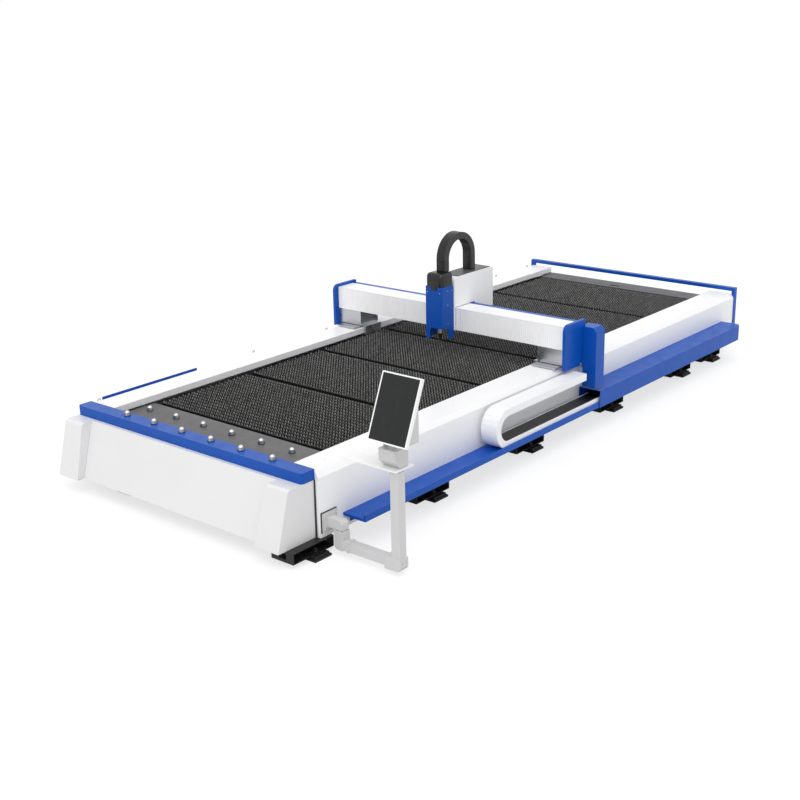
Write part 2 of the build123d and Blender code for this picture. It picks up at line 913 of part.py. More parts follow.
def make_chain_anchor():
    """The block that holds the fixed end of the chain on the trough's floor."""
    x0 = chain_inner_x
    z0 = tray_floor_z
    return block(x0, x0 + chain_width, chain_anchor_y, chain_anchor_y + anchor_length, z0, z0 + chain_thickness)


def make_gantry_beam():
    """The box tube across the bed."""
    return square_tube_x(
        -gantry_half_width, gantry_half_width, gantry_beam_front_y, gantry_rear_y - gantry_cover_sheet,
        gantry_bottom_z, gantry_top_z - gantry_cover_sheet, gantry_wall,
    )


def make_gantry_cover():
    """The smooth white sheet on top of the beam; it stops short of the beam's rear edge."""
    return block(-gantry_half_width, gantry_half_width, gantry_front_y, gantry_cover_rear_y,
                 gantry_top_z - gantry_cover_sheet, gantry_top_z)


def make_end_plate():
    """The thick blue plate at the right end of the beam, rounded at its top front corner."""
    outline = [
        (end_plate_front_y, end_plate_bottom_z),
        (end_plate_rear_y - end_plate_notch_length, end_plate_bottom_z),
        (end_plate_rear_y - end_plate_notch_length, end_plate_bottom_z + end_plate_notch_height),
        (end_plate_rear_y, end_plate_bottom_z + end_plate_notch_height),
        (end_plate_rear_y, end_plate_top_z),
        (end_plate_front_y, end_plate_top_z),
    ]
    plate = prism_x(outline, gantry_half_width, gantry_half_width + end_plate_thickness)
    corner = plate.edges().filter_by(Axis.X).group_by(Axis.Z)[-1].group_by(Axis.Y)[0]
    return fillet(corner, end_plate_radius)


def make_chain_column():
    """The blue column on the right end plate, with the tongue that pulls the cable chain."""
    x0 = gantry_half_width + end_plate_thickness
    rear_y = column_front_y + column_depth
    outline = [
        (x0, column_bottom_z),
        (column_outer_x, column_bottom_z),
        (column_outer_x, column_top_z - column_chamfer),
        (column_outer_x - column_chamfer, column_top_z),
        (x0, column_top_z),
    ]
    column = prism_y(outline, column_front_y, rear_y)
    column += block(gantry_half_width, x0, end_plate_rear_y, rear_y, flange_bottom_z, column_top_z)
    return column + block(x0, x0 + tongue_width, chain_end_y, column_front_y, tongue_bottom_z, tongue_top_z)


def make_slide_bracket():
    """The right-hand arm that reaches under the beam cover, with its two rail trucks."""
    z0 = truck_top_z
    z1 = truck_top_z + arm_thickness
    y0 = slide_plate_front_y
    web_y = slide_web_front_y
    y1 = slide_rear_y
    top_z = side_box_base_z + side_box_base
    web_x = web_outer_x - web_thickness
    half = truck_width / 2
    bracket = block(rail_x - half, arm_reach_x, y0, y1, z0, z1)
    bracket += block(web_x, arm_reach_x, web_y, y1, z0, z1)
    bracket += block(web_x, web_outer_x, web_y, y1, z0, top_z)
    bracket += block(web_x, slide_plate_outer_x, web_y, y1, side_box_base_z, top_z)
    bracket += block(side_box_inner_x, slide_plate_outer_x, y0, y1, side_box_base_z, top_z)
    channel = rail_width / 2 + rail_gap
    roof_z = tube_top_z + rail_height + rail_gap
    skirt_z = tube_top_z + truck_skirt_rise
    outline = [
        (rail_x - half, skirt_z),
        (rail_x - channel, skirt_z),
        (rail_x - channel, roof_z),
        (rail_x + channel, roof_z),
        (rail_x + channel, skirt_z),
        (rail_x + half, skirt_z),
        (rail_x + half, z0),
        (rail_x - half, z0),
    ]
    for start in (y0, y1 - truck_length):
        bracket += prism_y(outline, start, start + truck_length)
    return bracket


def make_side_box():
    """The stainless box between the right-hand slide and the beam, out to the end plate."""
    return block(side_box_inner_x, gantry_half_width, side_box_front_y, side_box_rear_y,
                 side_box_base_z + side_box_base, gantry_bottom_z)


def make_x_rails():
    """The two cross rails on the front of the beam."""
    front_y = gantry_beam_front_y - rail_height
    half = rail_width / 2
    return [
        block(-x_rail_half_length, x_rail_half_length, front_y, gantry_beam_front_y, z - half, z + half)
        for z in (x_rail_low_z, x_rail_high_z)
    ]


def make_x_rack():
    """The rack between the cross rails."""
    return block(-x_rail_half_length, x_rail_half_length, gantry_beam_front_y - x_rack_depth, gantry_beam_front_y,
                 x_rack_z - x_rack_height / 2, x_rack_z + x_rack_height / 2)


def make_bellows(x0, x1):
    """A pleated curtain in front of the cross rails: upright folds at a fixed pitch."""
    count = round((x1 - x0) / bellows_pitch)
    step = (x1 - x0) / count
    valley = gantry_front_y + bellows_fold
    back = gantry_front_y + bellows_depth
    outline = [(x0, valley)]
    for k in range(count):
        outline.append((x0 + step * (k + 0.5), gantry_front_y))
        outline.append((x0 + step * (k + 1), valley))
    outline += [(x1, back), (x0, back)]
    z1 = gantry_top_z - gantry_cover_sheet - bellows_margin
    return prism_z(outline, gantry_bottom_z + bellows_margin, z1)


def make_carriage_plate():
    """The plate that runs along the beam on four trucks."""
    back = gantry_beam_front_y - rail_height - rail_gap
    front = carriage_front_y + carriage_skin
    low_z = gantry_bottom_z + bellows_margin
    high_z = gantry_top_z - gantry_cover_sheet - bellows_margin
    plate = block(carriage_left_x, carriage_right_x, front, back, low_z, high_z)
    for z in (x_rail_low_z, x_rail_high_z):
        half = truck_width / 2
        gap = rail_width / 2 + rail_gap
        reach = back + rail_height / 2
        for x0 in (carriage_left_x, carriage_right_x - truck_width):
            plate += block(x0, x0 + truck_width, back, reach, z + gap, z + half)
            plate += block(x0, x0 + truck_width, back, reach, z - half, z - gap)
    return plate


def make_z_housing():
    """The white housing that straddles the beam and carries the head."""
    outline = [
        (carriage_front_y, gantry_bottom_z),
        (carriage_front_y + carriage_skin, gantry_bottom_z),
        (carriage_front_y + carriage_skin, carriage_bridge_z),
        (carriage_tail_front_y, carriage_bridge_z),
        (carriage_tail_front_y, carriage_tail_z),
        (carriage_rear_y, carriage_tail_z),
        (carriage_rear_y, carriage_top_z),
        (carriage_front_y, carriage_top_z),
    ]
    housing = prism_x(outline, carriage_left_x, carriage_right_x)
    top_edges = housing.edges().filter_by(Axis.X).group_by(Axis.Z)[-1].sort_by(Axis.Y)
    housing = fillet(top_edges[0], carriage_radius)
    top_rear = housing.edges().filter_by(Axis.X).group_by(Axis.Z)[-1].sort_by(Axis.Y)[-1]
    return fillet(top_rear, carriage_radius / 2)


def make_cap_plate():
    """The dark plate on top of the housing that the cable arch lands on."""
    return block(
        carriage_left_x + cap_margin, carriage_right_x - cap_margin,
        carriage_front_y + carriage_radius + cap_margin, carriage_rear_y - carriage_radius / 2 - cap_margin,
        carriage_top_z, carriage_top_z + cap_plate,
    )


def make_z_rails():
    """The two upright rails on the housing."""
    rails = []
    for x in z_rail_x:
        rails.append(
            block(x - z_rail_width / 2, x + z_rail_width / 2, carriage_front_y - z_rail_depth, carriage_front_y,
                  z_rail_bottom_z, z_rail_top_z)
        )
    return rails


def make_head_plate():
    """The plate that carries the head, with its four trucks on the upright rails."""
    back = carriage_front_y - z_rail_depth - rail_gap
    front = back - head_plate_depth
    x0 = head_left_x + head_sheet
    x1 = head_right_x - head_sheet
    plate = block(x0, x1, front, back, head_plate_bottom_z, head_plate_top_z)
    reach = back + z_rail_depth / 2
    gap = z_rail_width / 2 + rail_gap
    half = head_block_width / 2
    for x in z_rail_x:
        for z in head_block_rows_z:
            plate += block(x - half, x - gap, back, reach, z, z + head_block_height)
            plate += block(x + gap, x + half, back, reach, z, z + head_block_height)
    return plate


def make_head_cover():
    """The blue sheet housing round the head: open behind and below, arched away at its front right corner."""
    rear_y = carriage_front_y - head_gap
    cover = block(head_left_x, head_right_x, head_front_y, rear_y, head_bottom_z, head_top_z)
    front_edges = cover.edges().filter_by(Axis.Z).group_by(Axis.Y)[0]
    cover = fillet(front_edges, head_radius)
    x0 = head_left_x + head_sheet
    x1 = head_right_x - head_sheet
    inside = block(x0, x1, head_front_y + head_sheet, rear_y + cut_past,
                   head_bottom_z - cut_past, head_top_z - head_sheet)
    inside_edges = inside.edges().filter_by(Axis.Z).group_by(Axis.Y)[0]
    cover -= fillet(inside_edges, head_radius - head_sheet)
    cover -= block(x0, x1, rear_y - z_rail_depth, rear_y + cut_past,
                   head_top_z - head_sheet - cut_past, head_top_z + cut_past)
    arch = block(head_left_x + head_leg_width, head_right_x + cut_past,
                 head_front_y - cut_past, (head_front_y + rear_y) / 2,
                 head_bottom_z - cut_past, head_bottom_z + head_arch_height)
    left_top = arch.edges().filter_by(Axis.Y).group_by(Axis.Z)[-1].group_by(Axis.X)[0]
    rear_top = arch.edges().filter_by(Axis.X).group_by(Axis.Z)[-1].group_by(Axis.Y)[-1]
    return cover - fillet(left_top + rear_top, head_arch_radius)


def make_head_cap():
    """The black cap over the head that the cable arch rises from: rounded in front, bevelled on its left."""
    rear_y = carriage_front_y - z_rail_depth - head_gap
    cap = block(head_left_x, head_right_x, head_front_y, rear_y, head_top_z, head_cap_top_z)
    left_top = cap.edges().filter_by(Axis.Y).group_by(Axis.Z)[-1].group_by(Axis.X)[0]
    cap = fillet(left_top, head_cap_radius)
    front_top = cap.edges().filter_by(Axis.X).group_by(Axis.Z)[-1].group_by(Axis.Y)[0]
    return chamfer(front_top, head_cap_edge)


def make_cutting_head():
    """The laser head: collimator body, round neck and a collar for the nozzle."""
    x = head_axis_x
    y = head_axis_y
    back = carriage_front_y - z_rail_depth - rail_gap - head_plate_depth
    body = block(x - head_body_width / 2, x + head_body_width / 2, y - head_body_depth / 2, back,
                 max(head_body_bottom_z, head_plate_bottom_z), head_body_top_z)
    body += block(x - head_body_width / 2, x + head_body_width / 2, y - head_body_depth / 2, y + head_body_depth / 2,
                  head_body_bottom_z, head_body_top_z)
    neck = rod_z(x, y, head_neck_bottom_z, head_body_bottom_z, head_neck_radius)
    return body + neck


def make_nozzle():
    """The turned nozzle and its ceramic seat, a cone with a through bore."""
    height = head_neck_bottom_z - nozzle_tip_z
    cone = Pos(head_axis_x, head_axis_y, nozzle_tip_z + height / 2)
    turned = cone * Cone(nozzle_tip_radius, nozzle_seat_radius, height)
    return turned - cone * Cylinder(nozzle_bore_radius, height + 2 * cut_past)


def make_cable_arch():
    """The flat black cable guide that loops from the head back over the housing."""
    x0 = arch_left_x
    x1 = arch_right_x
    inner = arch_outer_radius - arch_band
    ring = rod_x(x0, x1, arch_centre_y, arch_centre_z, arch_outer_radius)
    ring -= rod_x(x0 - cut_past, x1 + cut_past, arch_centre_y, arch_centre_z, inner)
    reach = arch_outer_radius + cut_past
    ring &= block(x0 - cut_past, x1 + cut_past, arch_centre_y - reach, arch_centre_y + reach,
                  arch_centre_z, arch_centre_z + reach)
    ring += block(x0, x1, arch_centre_y - arch_outer_radius, arch_centre_y - inner, head_cap_top_z, arch_centre_z)
    rear_z = carriage_top_z + cap_plate
    ring += block(x0, x1, arch_centre_y + inner, arch_centre_y + arch_outer_radius, rear_z, arch_centre_z)
    return ring


def make_wall_plate():
    """The dark backing plate of the console mount."""
    x0 = side_half_width + wall_gap
    return block(x0, x0 + wall_plate_sheet, wall_plate_y0, wall_plate_y1, wall_plate_z0, wall_plate_z1)


def make_wall_elbow():
    """The fixed light-grey elbow: flange, stub and the socket that the arm turns under."""
    x0 = side_half_width + wall_gap + wall_plate_sheet
    half = console_tube / 2
    flange = block(x0, x0 + wall_pad_sheet, wall_plate_y0 + wall_pad_margin, wall_plate_y1 - wall_pad_margin,
                   wall_plate_z0 + wall_pad_margin, wall_plate_z1 - wall_pad_margin)
    stub = block(x0 + wall_pad_sheet, console_axis_x + half, console_y - half, console_y + half,
                 stub_z - half, stub_z + half)
    corner = stub.edges().filter_by(Axis.Y).group_by(Axis.X)[-1].group_by(Axis.Z)[-1]
    stub = fillet(corner, elbow_radius)
    disc = rod_z(console_axis_x, console_y, stub_z - half - swivel_disc_height, stub_z - half, swivel_disc_radius)
    return flange + stub + disc


def make_console_arm():
    """The turning arm: a rounded lower elbow with its sleeve, and the long level tube."""
    half = console_tube / 2
    outer = half + sleeve_rise
    top_z = stub_z - half - swivel_disc_height - swivel_gap
    drop = block(console_axis_x - outer, console_axis_x + outer, console_y - outer, console_y + outer,
                 arm_z - outer, top_z)
    corner = drop.edges().filter_by(Axis.Y).group_by(Axis.X)[0].group_by(Axis.Z)[0]
    drop = fillet(corner, elbow_radius)
    level = block(console_axis_x + outer, pole_x - half, console_y - half, console_y + half,
                  arm_z - half, arm_z + half)
    room = half - console_tube_wall
    inner = block(console_axis_x + outer, pole_x - half, console_y - room, console_y + room,
                  arm_z - room, arm_z + room)
    return drop + level - inner


def make_console_collar():
    """The clamping collar round the level tube."""
    half = console_tube / 2
    outer = half + collar_rise
    ring = block(collar_x, collar_x + collar_length, console_y - outer, console_y + outer,
                 arm_z - outer, arm_z + outer)
    hole = block(collar_x - cut_past, collar_x + collar_length + cut_past, console_y - half, console_y + half,
                 arm_z - half, arm_z + half)
    return ring - hole


def make_console_pole():
    """The upright square pole, with the rounded elbow at its foot and its sleeve over the arm's end."""
    half = pole_size / 2
    tube = console_tube / 2
    outer = half + foot_elbow_rise
    pole = block(pole_x - half, pole_x + half, console_y - half, console_y + half, arm_z, pole_top_z)
    elbow = block(pole_x - outer - foot_sleeve, pole_x + outer, console_y - outer, console_y + outer,
                  arm_z - pole_drop, arm_z + outer)
    corner = elbow.edges().filter_by(Axis.Y).group_by(Axis.X)[-1].group_by(Axis.Z)[0]
    elbow = fillet(corner, elbow_radius)
    socket = block(pole_x - outer - foot_sleeve - cut_past, pole_x - tube, console_y - tube, console_y + tube,
                   arm_z - tube, arm_z + tube)
    return elbow + pole - socket


def make_pole_disc():
    """The bearing disc on the pole's top, which the head of the console turns on."""
    return rod_z(pole_x, console_y, pole_top_z, tray_plate_z - swivel_gap, swivel_disc_radius)


def make_keyboard_tray():
    """The thin plate in front of the screen, stepped at its rear left corner."""
    outline = [
        (tray_plate_x0, tray_plate_y0),
        (tray_plate_x1, tray_plate_y0),
        (tray_plate_x1, tray_plate_y1),
        (tray_plate_notch_x, tray_plate_y1),
        (tray_plate_notch_x, tray_plate_y1 - tray_plate_notch),
        (tray_plate_x0, tray_plate_y1 - tray_plate_notch),
    ]
    plate = prism_z(outline, tray_plate_z, tray_plate_z + tray_plate_thickness)
    front = plate.edges().filter_by(Axis.Z).group_by(Axis.Y)[0]
    return fillet(front, tray_plate_corner)


def make_turret():
    """The box on the tray that holds the screen's hinge, with two ears on its top."""
    base_z = tray_plate_z + tray_plate_thickness
    turret = block(turret_x0, turret_x1, turret_y0, turret_y1, base_z, turret_top_z)
    front_low = turret.edges().filter_by(Axis.X).group_by(Axis.Z)[0].group_by(Axis.Y)[0]
    turret = chamfer(front_low, turret_edge)
    mid_x = (turret_x0 + turret_x1) / 2
    for side in (-1, 1):
        x0 = mid_x + side * hinge_half_width - (hinge_ear if side < 0 else 0)
        ear = block(x0, x0 + hinge_ear, hinge_y - hinge_ear_radius, hinge_y + hinge_ear_radius, turret_top_z, hinge_z)
        ear += rod_x(x0, x0 + hinge_ear, hinge_y, hinge_z, hinge_ear_radius)
        ear -= rod_x(x0 - cut_past, x0 + hinge_ear + cut_past, hinge_y, hinge_z, hinge_pin_radius)
        turret += ear
    return turret


def tilted(local):
    """A piece of the screen, from its own upright frame to its place."""
    return Pos(monitor_x, monitor_y, monitor_z) * Rot(-monitor_tilt, 0, 0) * local


def make_monitor_frame():
    """The white case of the screen, with a shallow recess for the glass."""
    half_w = monitor_width / 2
    half_h = monitor_height / 2
    case = block(-half_w, half_w, 0, monitor_depth, -half_h, half_h)
    case = fillet(case.edges().filter_by(Axis.Y), monitor_corner)
    case -= block(-half_w + monitor_bezel, half_w - monitor_bezel, -1, screen_depth,
                  -half_h + monitor_bezel, half_h - monitor_bezel)
    return tilted(case)


def make_monitor_screen():
    """The dark glass in the recess of the case."""
    gap = monitor_gap
    half_w = monitor_width / 2 - monitor_bezel - gap
    half_h = monitor_height / 2 - monitor_bezel - gap
    return tilted(block(-half_w, half_w, gap, screen_depth, -half_h, half_h))


def make_monitor_wedge():
    """The wedge-shaped case behind the screen, upright at its back, with the hinge knuckle below."""
    lean = radians(monitor_tilt)
    rise = cos(lean)
    run = sin(lean)

    def behind(along):
        """A point on the back of the case, a distance up its slope from the middle."""
        y = monitor_y + monitor_depth * rise + along * run
        z = monitor_z - monitor_depth * run + along * rise
        return y, z

    low = behind(-monitor_height / 2)
    foot = (low[0] + (wedge_bottom_z - low[1]) * tan(lean), wedge_bottom_z)
    high = behind(-monitor_height / 2 + wedge_height)
    outline = [foot, (wedge_rear_y, wedge_bottom_z), (wedge_rear_y, high[1]), high]
    if high[0] > wedge_rear_y:
        top_z = foot[1] + (wedge_rear_y - foot[0]) / tan(lean)
        outline = [foot, (wedge_rear_y, wedge_bottom_z), (wedge_rear_y, top_z)]
    mid_x = (turret_x0 + turret_x1) / 2
    wedge = prism_x(outline, monitor_x - wedge_half_width, monitor_x + wedge_half_width)
    half = hinge_half_width - hinge_side_gap
    knuckle = block(mid_x - half, mid_x + half, hinge_y - hinge_ear_radius, hinge_y + hinge_ear_radius,
                    hinge_z, wedge_bottom_z)
    knuckle += rod_x(mid_x - half, mid_x + half, hinge_y, hinge_z, hinge_ear_radius)
    bore = rod_x(mid_x - half - cut_past, mid_x + half + cut_past, hinge_y, hinge_z, hinge_pin_radius + hinge_pin_gap)
    return wedge + knuckle - bore


def make_hinge_pin():
    """The pin that the screen tilts on."""
    mid_x = (turret_x0 + turret_x1) / 2
    reach = hinge_half_width + hinge_ear
    return rod_x(mid_x - reach, mid_x + reach, hinge_y, hinge_z, hinge_pin_radius)


def build():
    """Every node by name, in the frame of the front bar."""
    chain_top_z = chain_centre_z + chain_outer_radius
    chain_low_z = chain_centre_z - chain_outer_radius
    upper_z = chain_top_z - chain_thickness
    link_end_y = chain_bend_y + chain_link
    left_gap = carriage_left_x - carriage_bellows_gap
    right_gap = carriage_right_x + carriage_bellows_gap
    parts = {
        "front_bar": [make_front_bar()],
        "front_panel": [make_front_panel()],
        "front_housings": both_sides(make_pilaster()),
        "side_covers": both_sides(make_side_cover()),
        "beam_covers": both_sides(make_beam_cover()),
        "bed_main_tubes": make_bed_tubes() + at_feet(make_bed_leg),
        "bed_cross_members": make_cross_members(),
        "cover_brackets": make_cover_brackets(),
        "loading_deck": [make_loading_deck()],
        "rear_deck": [make_rear_deck()],
        "rear_panel": [make_rear_panel()],
        "rear_frame": [make_rear_frame()],
        "y_rails_and_racks": make_y_rails() + make_y_racks(),
        "cable_tray": [make_cable_tray()] + make_tray_gussets(),
        "cable_trough": [make_cable_trough()],
        "edge_strip_left": [make_edge_strip()],
        "lifting_eyes": make_lifting_eyes(),
        "foot_brackets": at_feet(make_foot_bracket),
        "foot_pads": at_feet(make_side_pad) + [make_front_foot()],
        "ball_cups": make_ball_cups(),
        "balls_bar": make_balls(bar_ball_rows(), bar_ball_y, bar_top_z),
        "balls_deck": make_balls(deck_ball_rows(), deck_ball_y, deck_top_z),
        "chain_lower_run": [make_chain_run(chain_bend_y + chain_joint_gap, chain_anchor_y, chain_low_z)],
        "chain_bend": [make_chain_bend()],
        "chain_upper_link": [make_chain_run(chain_bend_y + chain_joint_gap, link_end_y, upper_z)],
        "chain_upper_run": [make_chain_run(link_end_y + chain_joint_gap, chain_end_y, upper_z)],
        "chain_anchor": [make_chain_anchor()],
        "gantry_beam": [make_gantry_beam()],
        "gantry_cover": [make_gantry_cover()],
        "end_plates": both_sides(make_end_plate()),
        "chain_column": [make_chain_column()],
        "slide_brackets": both_sides(make_slide_bracket()),
        "side_boxes": both_sides(make_side_box()),
        "x_rails_and_rack": make_x_rails() + [make_x_rack()],
        "bellows_left": [make_bellows(-gantry_half_width, left_gap)],
        "bellows_right": [make_bellows(right_gap, gantry_half_width)],
        "carriage_plate": [make_carriage_plate()],
        "z_housing": [make_z_housing()],
        "z_housing_cap": [make_cap_plate()],
        "z_rails": make_z_rails(),
        "head_plate": [make_head_plate()],
        "head_cover": [make_head_cover()],
        "head_cap": [make_head_cap()],
        "cutting_head": [make_cutting_head()],
        "nozzle": [make_nozzle()],
        "cable_arch": [make_cable_arch()],
    }
    return parts


def console_parts():
    """The operator console, node by node."""
    return {
        "console_mount": [make_wall_plate(), make_wall_elbow()],
        "console_arm": [make_console_arm(), make_console_collar()],
        "console_pole": [make_console_pole() + make_pole_disc()],
        "keyboard_tray": [make_keyboard_tray()],
        "screen_turret": [make_turret(), make_hinge_pin()],
        "screen_case": [make_monitor_frame()],
        "screen_glass": [make_monitor_screen()],
        "screen_rear_case": [make_monitor_wedge()],
    }


def solids_of(pieces):
    """The separate solids of a list of pieces."""
    found = []
    for piece in pieces:
        found += list(piece.solids())
    return found


def origin_shift(parts):
    """The move that puts the origin on the floor, under the middle of everything."""
    box = Compound(children=[solid for pieces in parts.values() for solid in solids_of(pieces)]).bounding_box()
    return Vector(-(box.min.X + box.max.X) / 2, -(box.min.Y + box.max.Y) / 2, -box.min.Z)


def slat_parts():
    """The six slat bays; each bay's strips and its tray are one node."""
    return {
        f"slat_bay_{number}": make_slats(start, end) + [make_slat_tray(start, end)]
        for number, (start, end) in enumerate(bay_spans(), 1)
    }


def all_parts():
    """Every node by name."""
    parts = build()
    parts.update(slat_parts())
    parts.update(console_parts())
    return parts


os.makedirs("parts", exist_ok=True)
model = all_parts()
shift = origin_shift(model)
for name, pieces in model.items():
    group = Compound(children=[solid.moved(Location(shift)) for solid in solids_of(pieces)])
    export_step(group, f"parts/{name}.step")
print("nodes", len(model), "shift", shift)
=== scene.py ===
"""Finishes and fine pieces of an open flatbed laser cutting machine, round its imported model, in metres."""

import json
import logging
import math
from dataclasses import dataclass
from enum import Enum

import bmesh
import bpy
from mathutils import Matrix, Vector


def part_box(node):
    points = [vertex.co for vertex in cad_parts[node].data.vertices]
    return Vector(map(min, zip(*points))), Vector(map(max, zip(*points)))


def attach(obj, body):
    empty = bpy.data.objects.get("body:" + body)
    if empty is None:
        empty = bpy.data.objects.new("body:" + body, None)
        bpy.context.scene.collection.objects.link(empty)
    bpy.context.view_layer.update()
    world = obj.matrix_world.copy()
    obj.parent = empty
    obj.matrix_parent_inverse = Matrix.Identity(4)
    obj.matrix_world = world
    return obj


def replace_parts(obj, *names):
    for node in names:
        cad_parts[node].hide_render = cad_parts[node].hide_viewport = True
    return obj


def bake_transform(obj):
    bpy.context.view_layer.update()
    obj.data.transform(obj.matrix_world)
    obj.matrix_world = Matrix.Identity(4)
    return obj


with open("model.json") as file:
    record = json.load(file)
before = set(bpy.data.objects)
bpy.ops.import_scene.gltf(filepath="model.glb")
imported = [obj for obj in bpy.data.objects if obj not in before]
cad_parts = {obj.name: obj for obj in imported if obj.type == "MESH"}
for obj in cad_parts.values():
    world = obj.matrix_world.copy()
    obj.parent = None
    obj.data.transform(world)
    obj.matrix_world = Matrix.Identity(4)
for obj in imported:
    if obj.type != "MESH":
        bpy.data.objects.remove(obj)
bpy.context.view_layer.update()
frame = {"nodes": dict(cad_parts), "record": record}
LOG = logging.getLogger("cutting_machine")

Point = tuple[float, float, float]
Colour = tuple[float, float, float]
Flat = tuple[float, float]
Profile = tuple[Flat, ...] | list[Flat]

NOISE_RANGE = (0.3, 0.7)


class Axis(Enum):
    """The three directions of the machine's frame."""

    ACROSS = 0
    ALONG = 1
    UP = 2


class Body(Enum):
    """The bodies of the machine that pieces ride on."""

    BASE = "base"
    GANTRY = "gantry"
    HEAD = "head"
    CHAIN_TURN = "chain_turn"
    CHAIN_LEAD = "chain_lead"
    CONSOLE_HEAD = "console_head_body"
    BAR_BALLS = "bar_ball_row"
    DECK_BALLS = "deck_ball_row"


def srgb(red: int, green: int, blue: int) -> Colour:
    """Turns a colour as a screen shows it into the linear one that a shader takes.

    Args:
        red: Red from 0 to 255.
        green: Green from 0 to 255.
        blue: Blue from 0 to 255.

    Returns:
        The linear colour.
    """
    linear = []
    for value in (red, green, blue):
        share = value / 255
        linear.append(share / 12.92 if share <= 0.04045 else ((share + 0.055) / 1.055) ** 2.4)
    return (linear[0], linear[1], linear[2])


def shaded(colour: Colour, factor: float) -> Colour:
    """Returns the colour made darker or lighter by a factor."""
    return (min(1.0, colour[0] * factor), min(1.0, colour[1] * factor), min(1.0, colour[2] * factor))


def placed(name: str, data: bpy.types.ID) -> bpy.types.Object:
    """Returns a new object of the scene that shows some data."""
    thing = bpy.data.objects.new(name, data)
    bpy.context.scene.collection.objects.link(thing)
    return thing


class NodeSheet:
    """The shader nodes of one material, laid out by short calls."""

    def __init__(self, name: str) -> None:
        """Starts an empty node tree.

        Args:
            name: The material's name.
        """
        self.material = bpy.data.materials.new(name)
        self.material.use_nodes = True
        self.tree = self.material.node_tree
        self.tree.nodes.clear()
        self.output = self.tree.nodes.new("ShaderNodeOutputMaterial")
        self.shader = self.tree.nodes.new("ShaderNodeBsdfPrincipled")
        self.join(self.shader.outputs[0], self.output.inputs["Surface"])
        place = self.tree.nodes.new("ShaderNodeTexCoord")
        self.place = place.outputs["Object"]

    def join(self, start: bpy.types.NodeSocket, end: bpy.types.NodeSocket) -> None:
        """Links one socket to another."""
        self.tree.links.new(start, end)

    def stretched(self, scale: Point) -> bpy.types.NodeSocket:
        """Gives the object's coordinates, scaled.

        Args:
            scale: The factor for each axis.

        Returns:
            The socket of the scaled coordinates.
        """
        mapping = self.tree.nodes.new("ShaderNodeMapping")
        mapping.inputs["Scale"].default_value = scale
        self.join(self.place, mapping.inputs["Vector"])
        return mapping.outputs[0]

    def noise(self, scale: Point, detail: float = 3.0) -> bpy.types.NodeSocket:
        """Gives a noise from 0 to 1 over the object's coordinates.

        Args:
            scale: Cycles a metre along each axis.
            detail: How many finer layers it has.

        Returns:
            The socket of its value.
        """
        node = self.tree.nodes.new("ShaderNodeTexNoise")
        node.inputs["Scale"].default_value = 1.0
        node.inputs["Detail"].default_value = detail
        self.join(self.stretched(scale), node.inputs["Vector"])
        return node.outputs["Fac"]

    def grains(self, scale: float) -> bpy.types.NodeSocket:
        """Gives the distance to the nearest of scattered grains.

        Args:
            scale: Grains a metre.

        Returns:
            The socket of the distance.
        """
        node = self.tree.nodes.new("ShaderNodeTexVoronoi")
        node.inputs["Scale"].default_value = scale
        self.join(self.place, node.inputs["Vector"])
        return node.outputs["Distance"]

    def spread(self, value: bpy.types.NodeSocket, low: float, high: float, start: float, end: float
               ) -> bpy.types.NodeSocket:
        """Maps a value from one range to another and clamps it.

        Args:
            value: The socket to map.
            low: Its lower end.
            high: Its upper end.
            start: What the lower end becomes.
            end: What the upper end becomes.

        Returns:
            The mapped socket.
        """
        node = self.tree.nodes.new("ShaderNodeMapRange")
        node.inputs["From Min"].default_value = low
        node.inputs["From Max"].default_value = high
        node.inputs["To Min"].default_value = start
        node.inputs["To Max"].default_value = end
        self.join(value, node.inputs["Value"])
        return node.outputs["Result"]

    def blended(self, share: bpy.types.NodeSocket, first: Colour, second: Colour) -> bpy.types.NodeSocket:
        """Mixes two colours by a share.

        Args:
            share: The socket of the share, from 0 to 1.
            first: The colour at 0.
            second: The colour at 1.

        Returns:
            The mixed colour's socket.
        """
        node = self.tree.nodes.new("ShaderNodeMix")
        node.data_type = "RGBA"
        for socket in node.inputs:
            if socket.identifier == "A_Color":
                socket.default_value = (*first, 1.0)
            if socket.identifier == "B_Color":
                socket.default_value = (*second, 1.0)
        self.join(share, node.inputs["Factor"])
        return next(socket for socket in node.outputs if socket.identifier == "Result_Color")

    def calculated(self, operation: str, first: bpy.types.NodeSocket, second: bpy.types.NodeSocket | float
                   ) -> bpy.types.NodeSocket:
        """Puts a value through one step of arithmetic.

        Args:
            operation: The step's name.
            first: The socket that it starts from.
            second: The number or the socket that it takes.

        Returns:
            The result's socket.
        """
        node = self.tree.nodes.new("ShaderNodeMath")
        node.operation = operation
        self.join(first, node.inputs[0])
        if isinstance(second, float):
            node.inputs[1].default_value = second
        else:
            self.join(second, node.inputs[1])
        return node.outputs[0]

    def relief(self, height: bpy.types.NodeSocket, strength: float, depth: float) -> None:
        """Raises the surface by a height.

        Args:
            height: The socket of the height, from 0 to 1.
            strength: How strongly it shows.
            depth: The real depth in metres.
        """
        node = self.tree.nodes.new("ShaderNodeBump")
        node.inputs["Strength"].default_value = strength
        node.inputs["Distance"].default_value = depth
        self.join(height, node.inputs["Height"])
        self.join(node.outputs[0], self.shader.inputs["Normal"])

    def tint(self, share: bpy.types.NodeSocket, dark: Colour, light: Colour) -> None:
        """Colours the surface between two tones by a share."""
        self.join(self.blended(share, dark, light), self.shader.inputs["Base Color"])

    def dull(self, value: bpy.types.NodeSocket, low: float, high: float) -> None:
        """Lets the roughness follow a noise, from its lower to its higher value."""
        self.join(self.spread(value, *NOISE_RANGE, low, high), self.shader.inputs["Roughness"])

    def coordinate(self, axis: str) -> bpy.types.NodeSocket:
        """Gives one of the object's own coordinates."""
        split = self.tree.nodes.new("ShaderNodeSeparateXYZ")
        self.join(self.place, split.inputs[0])
        return split.outputs[axis]


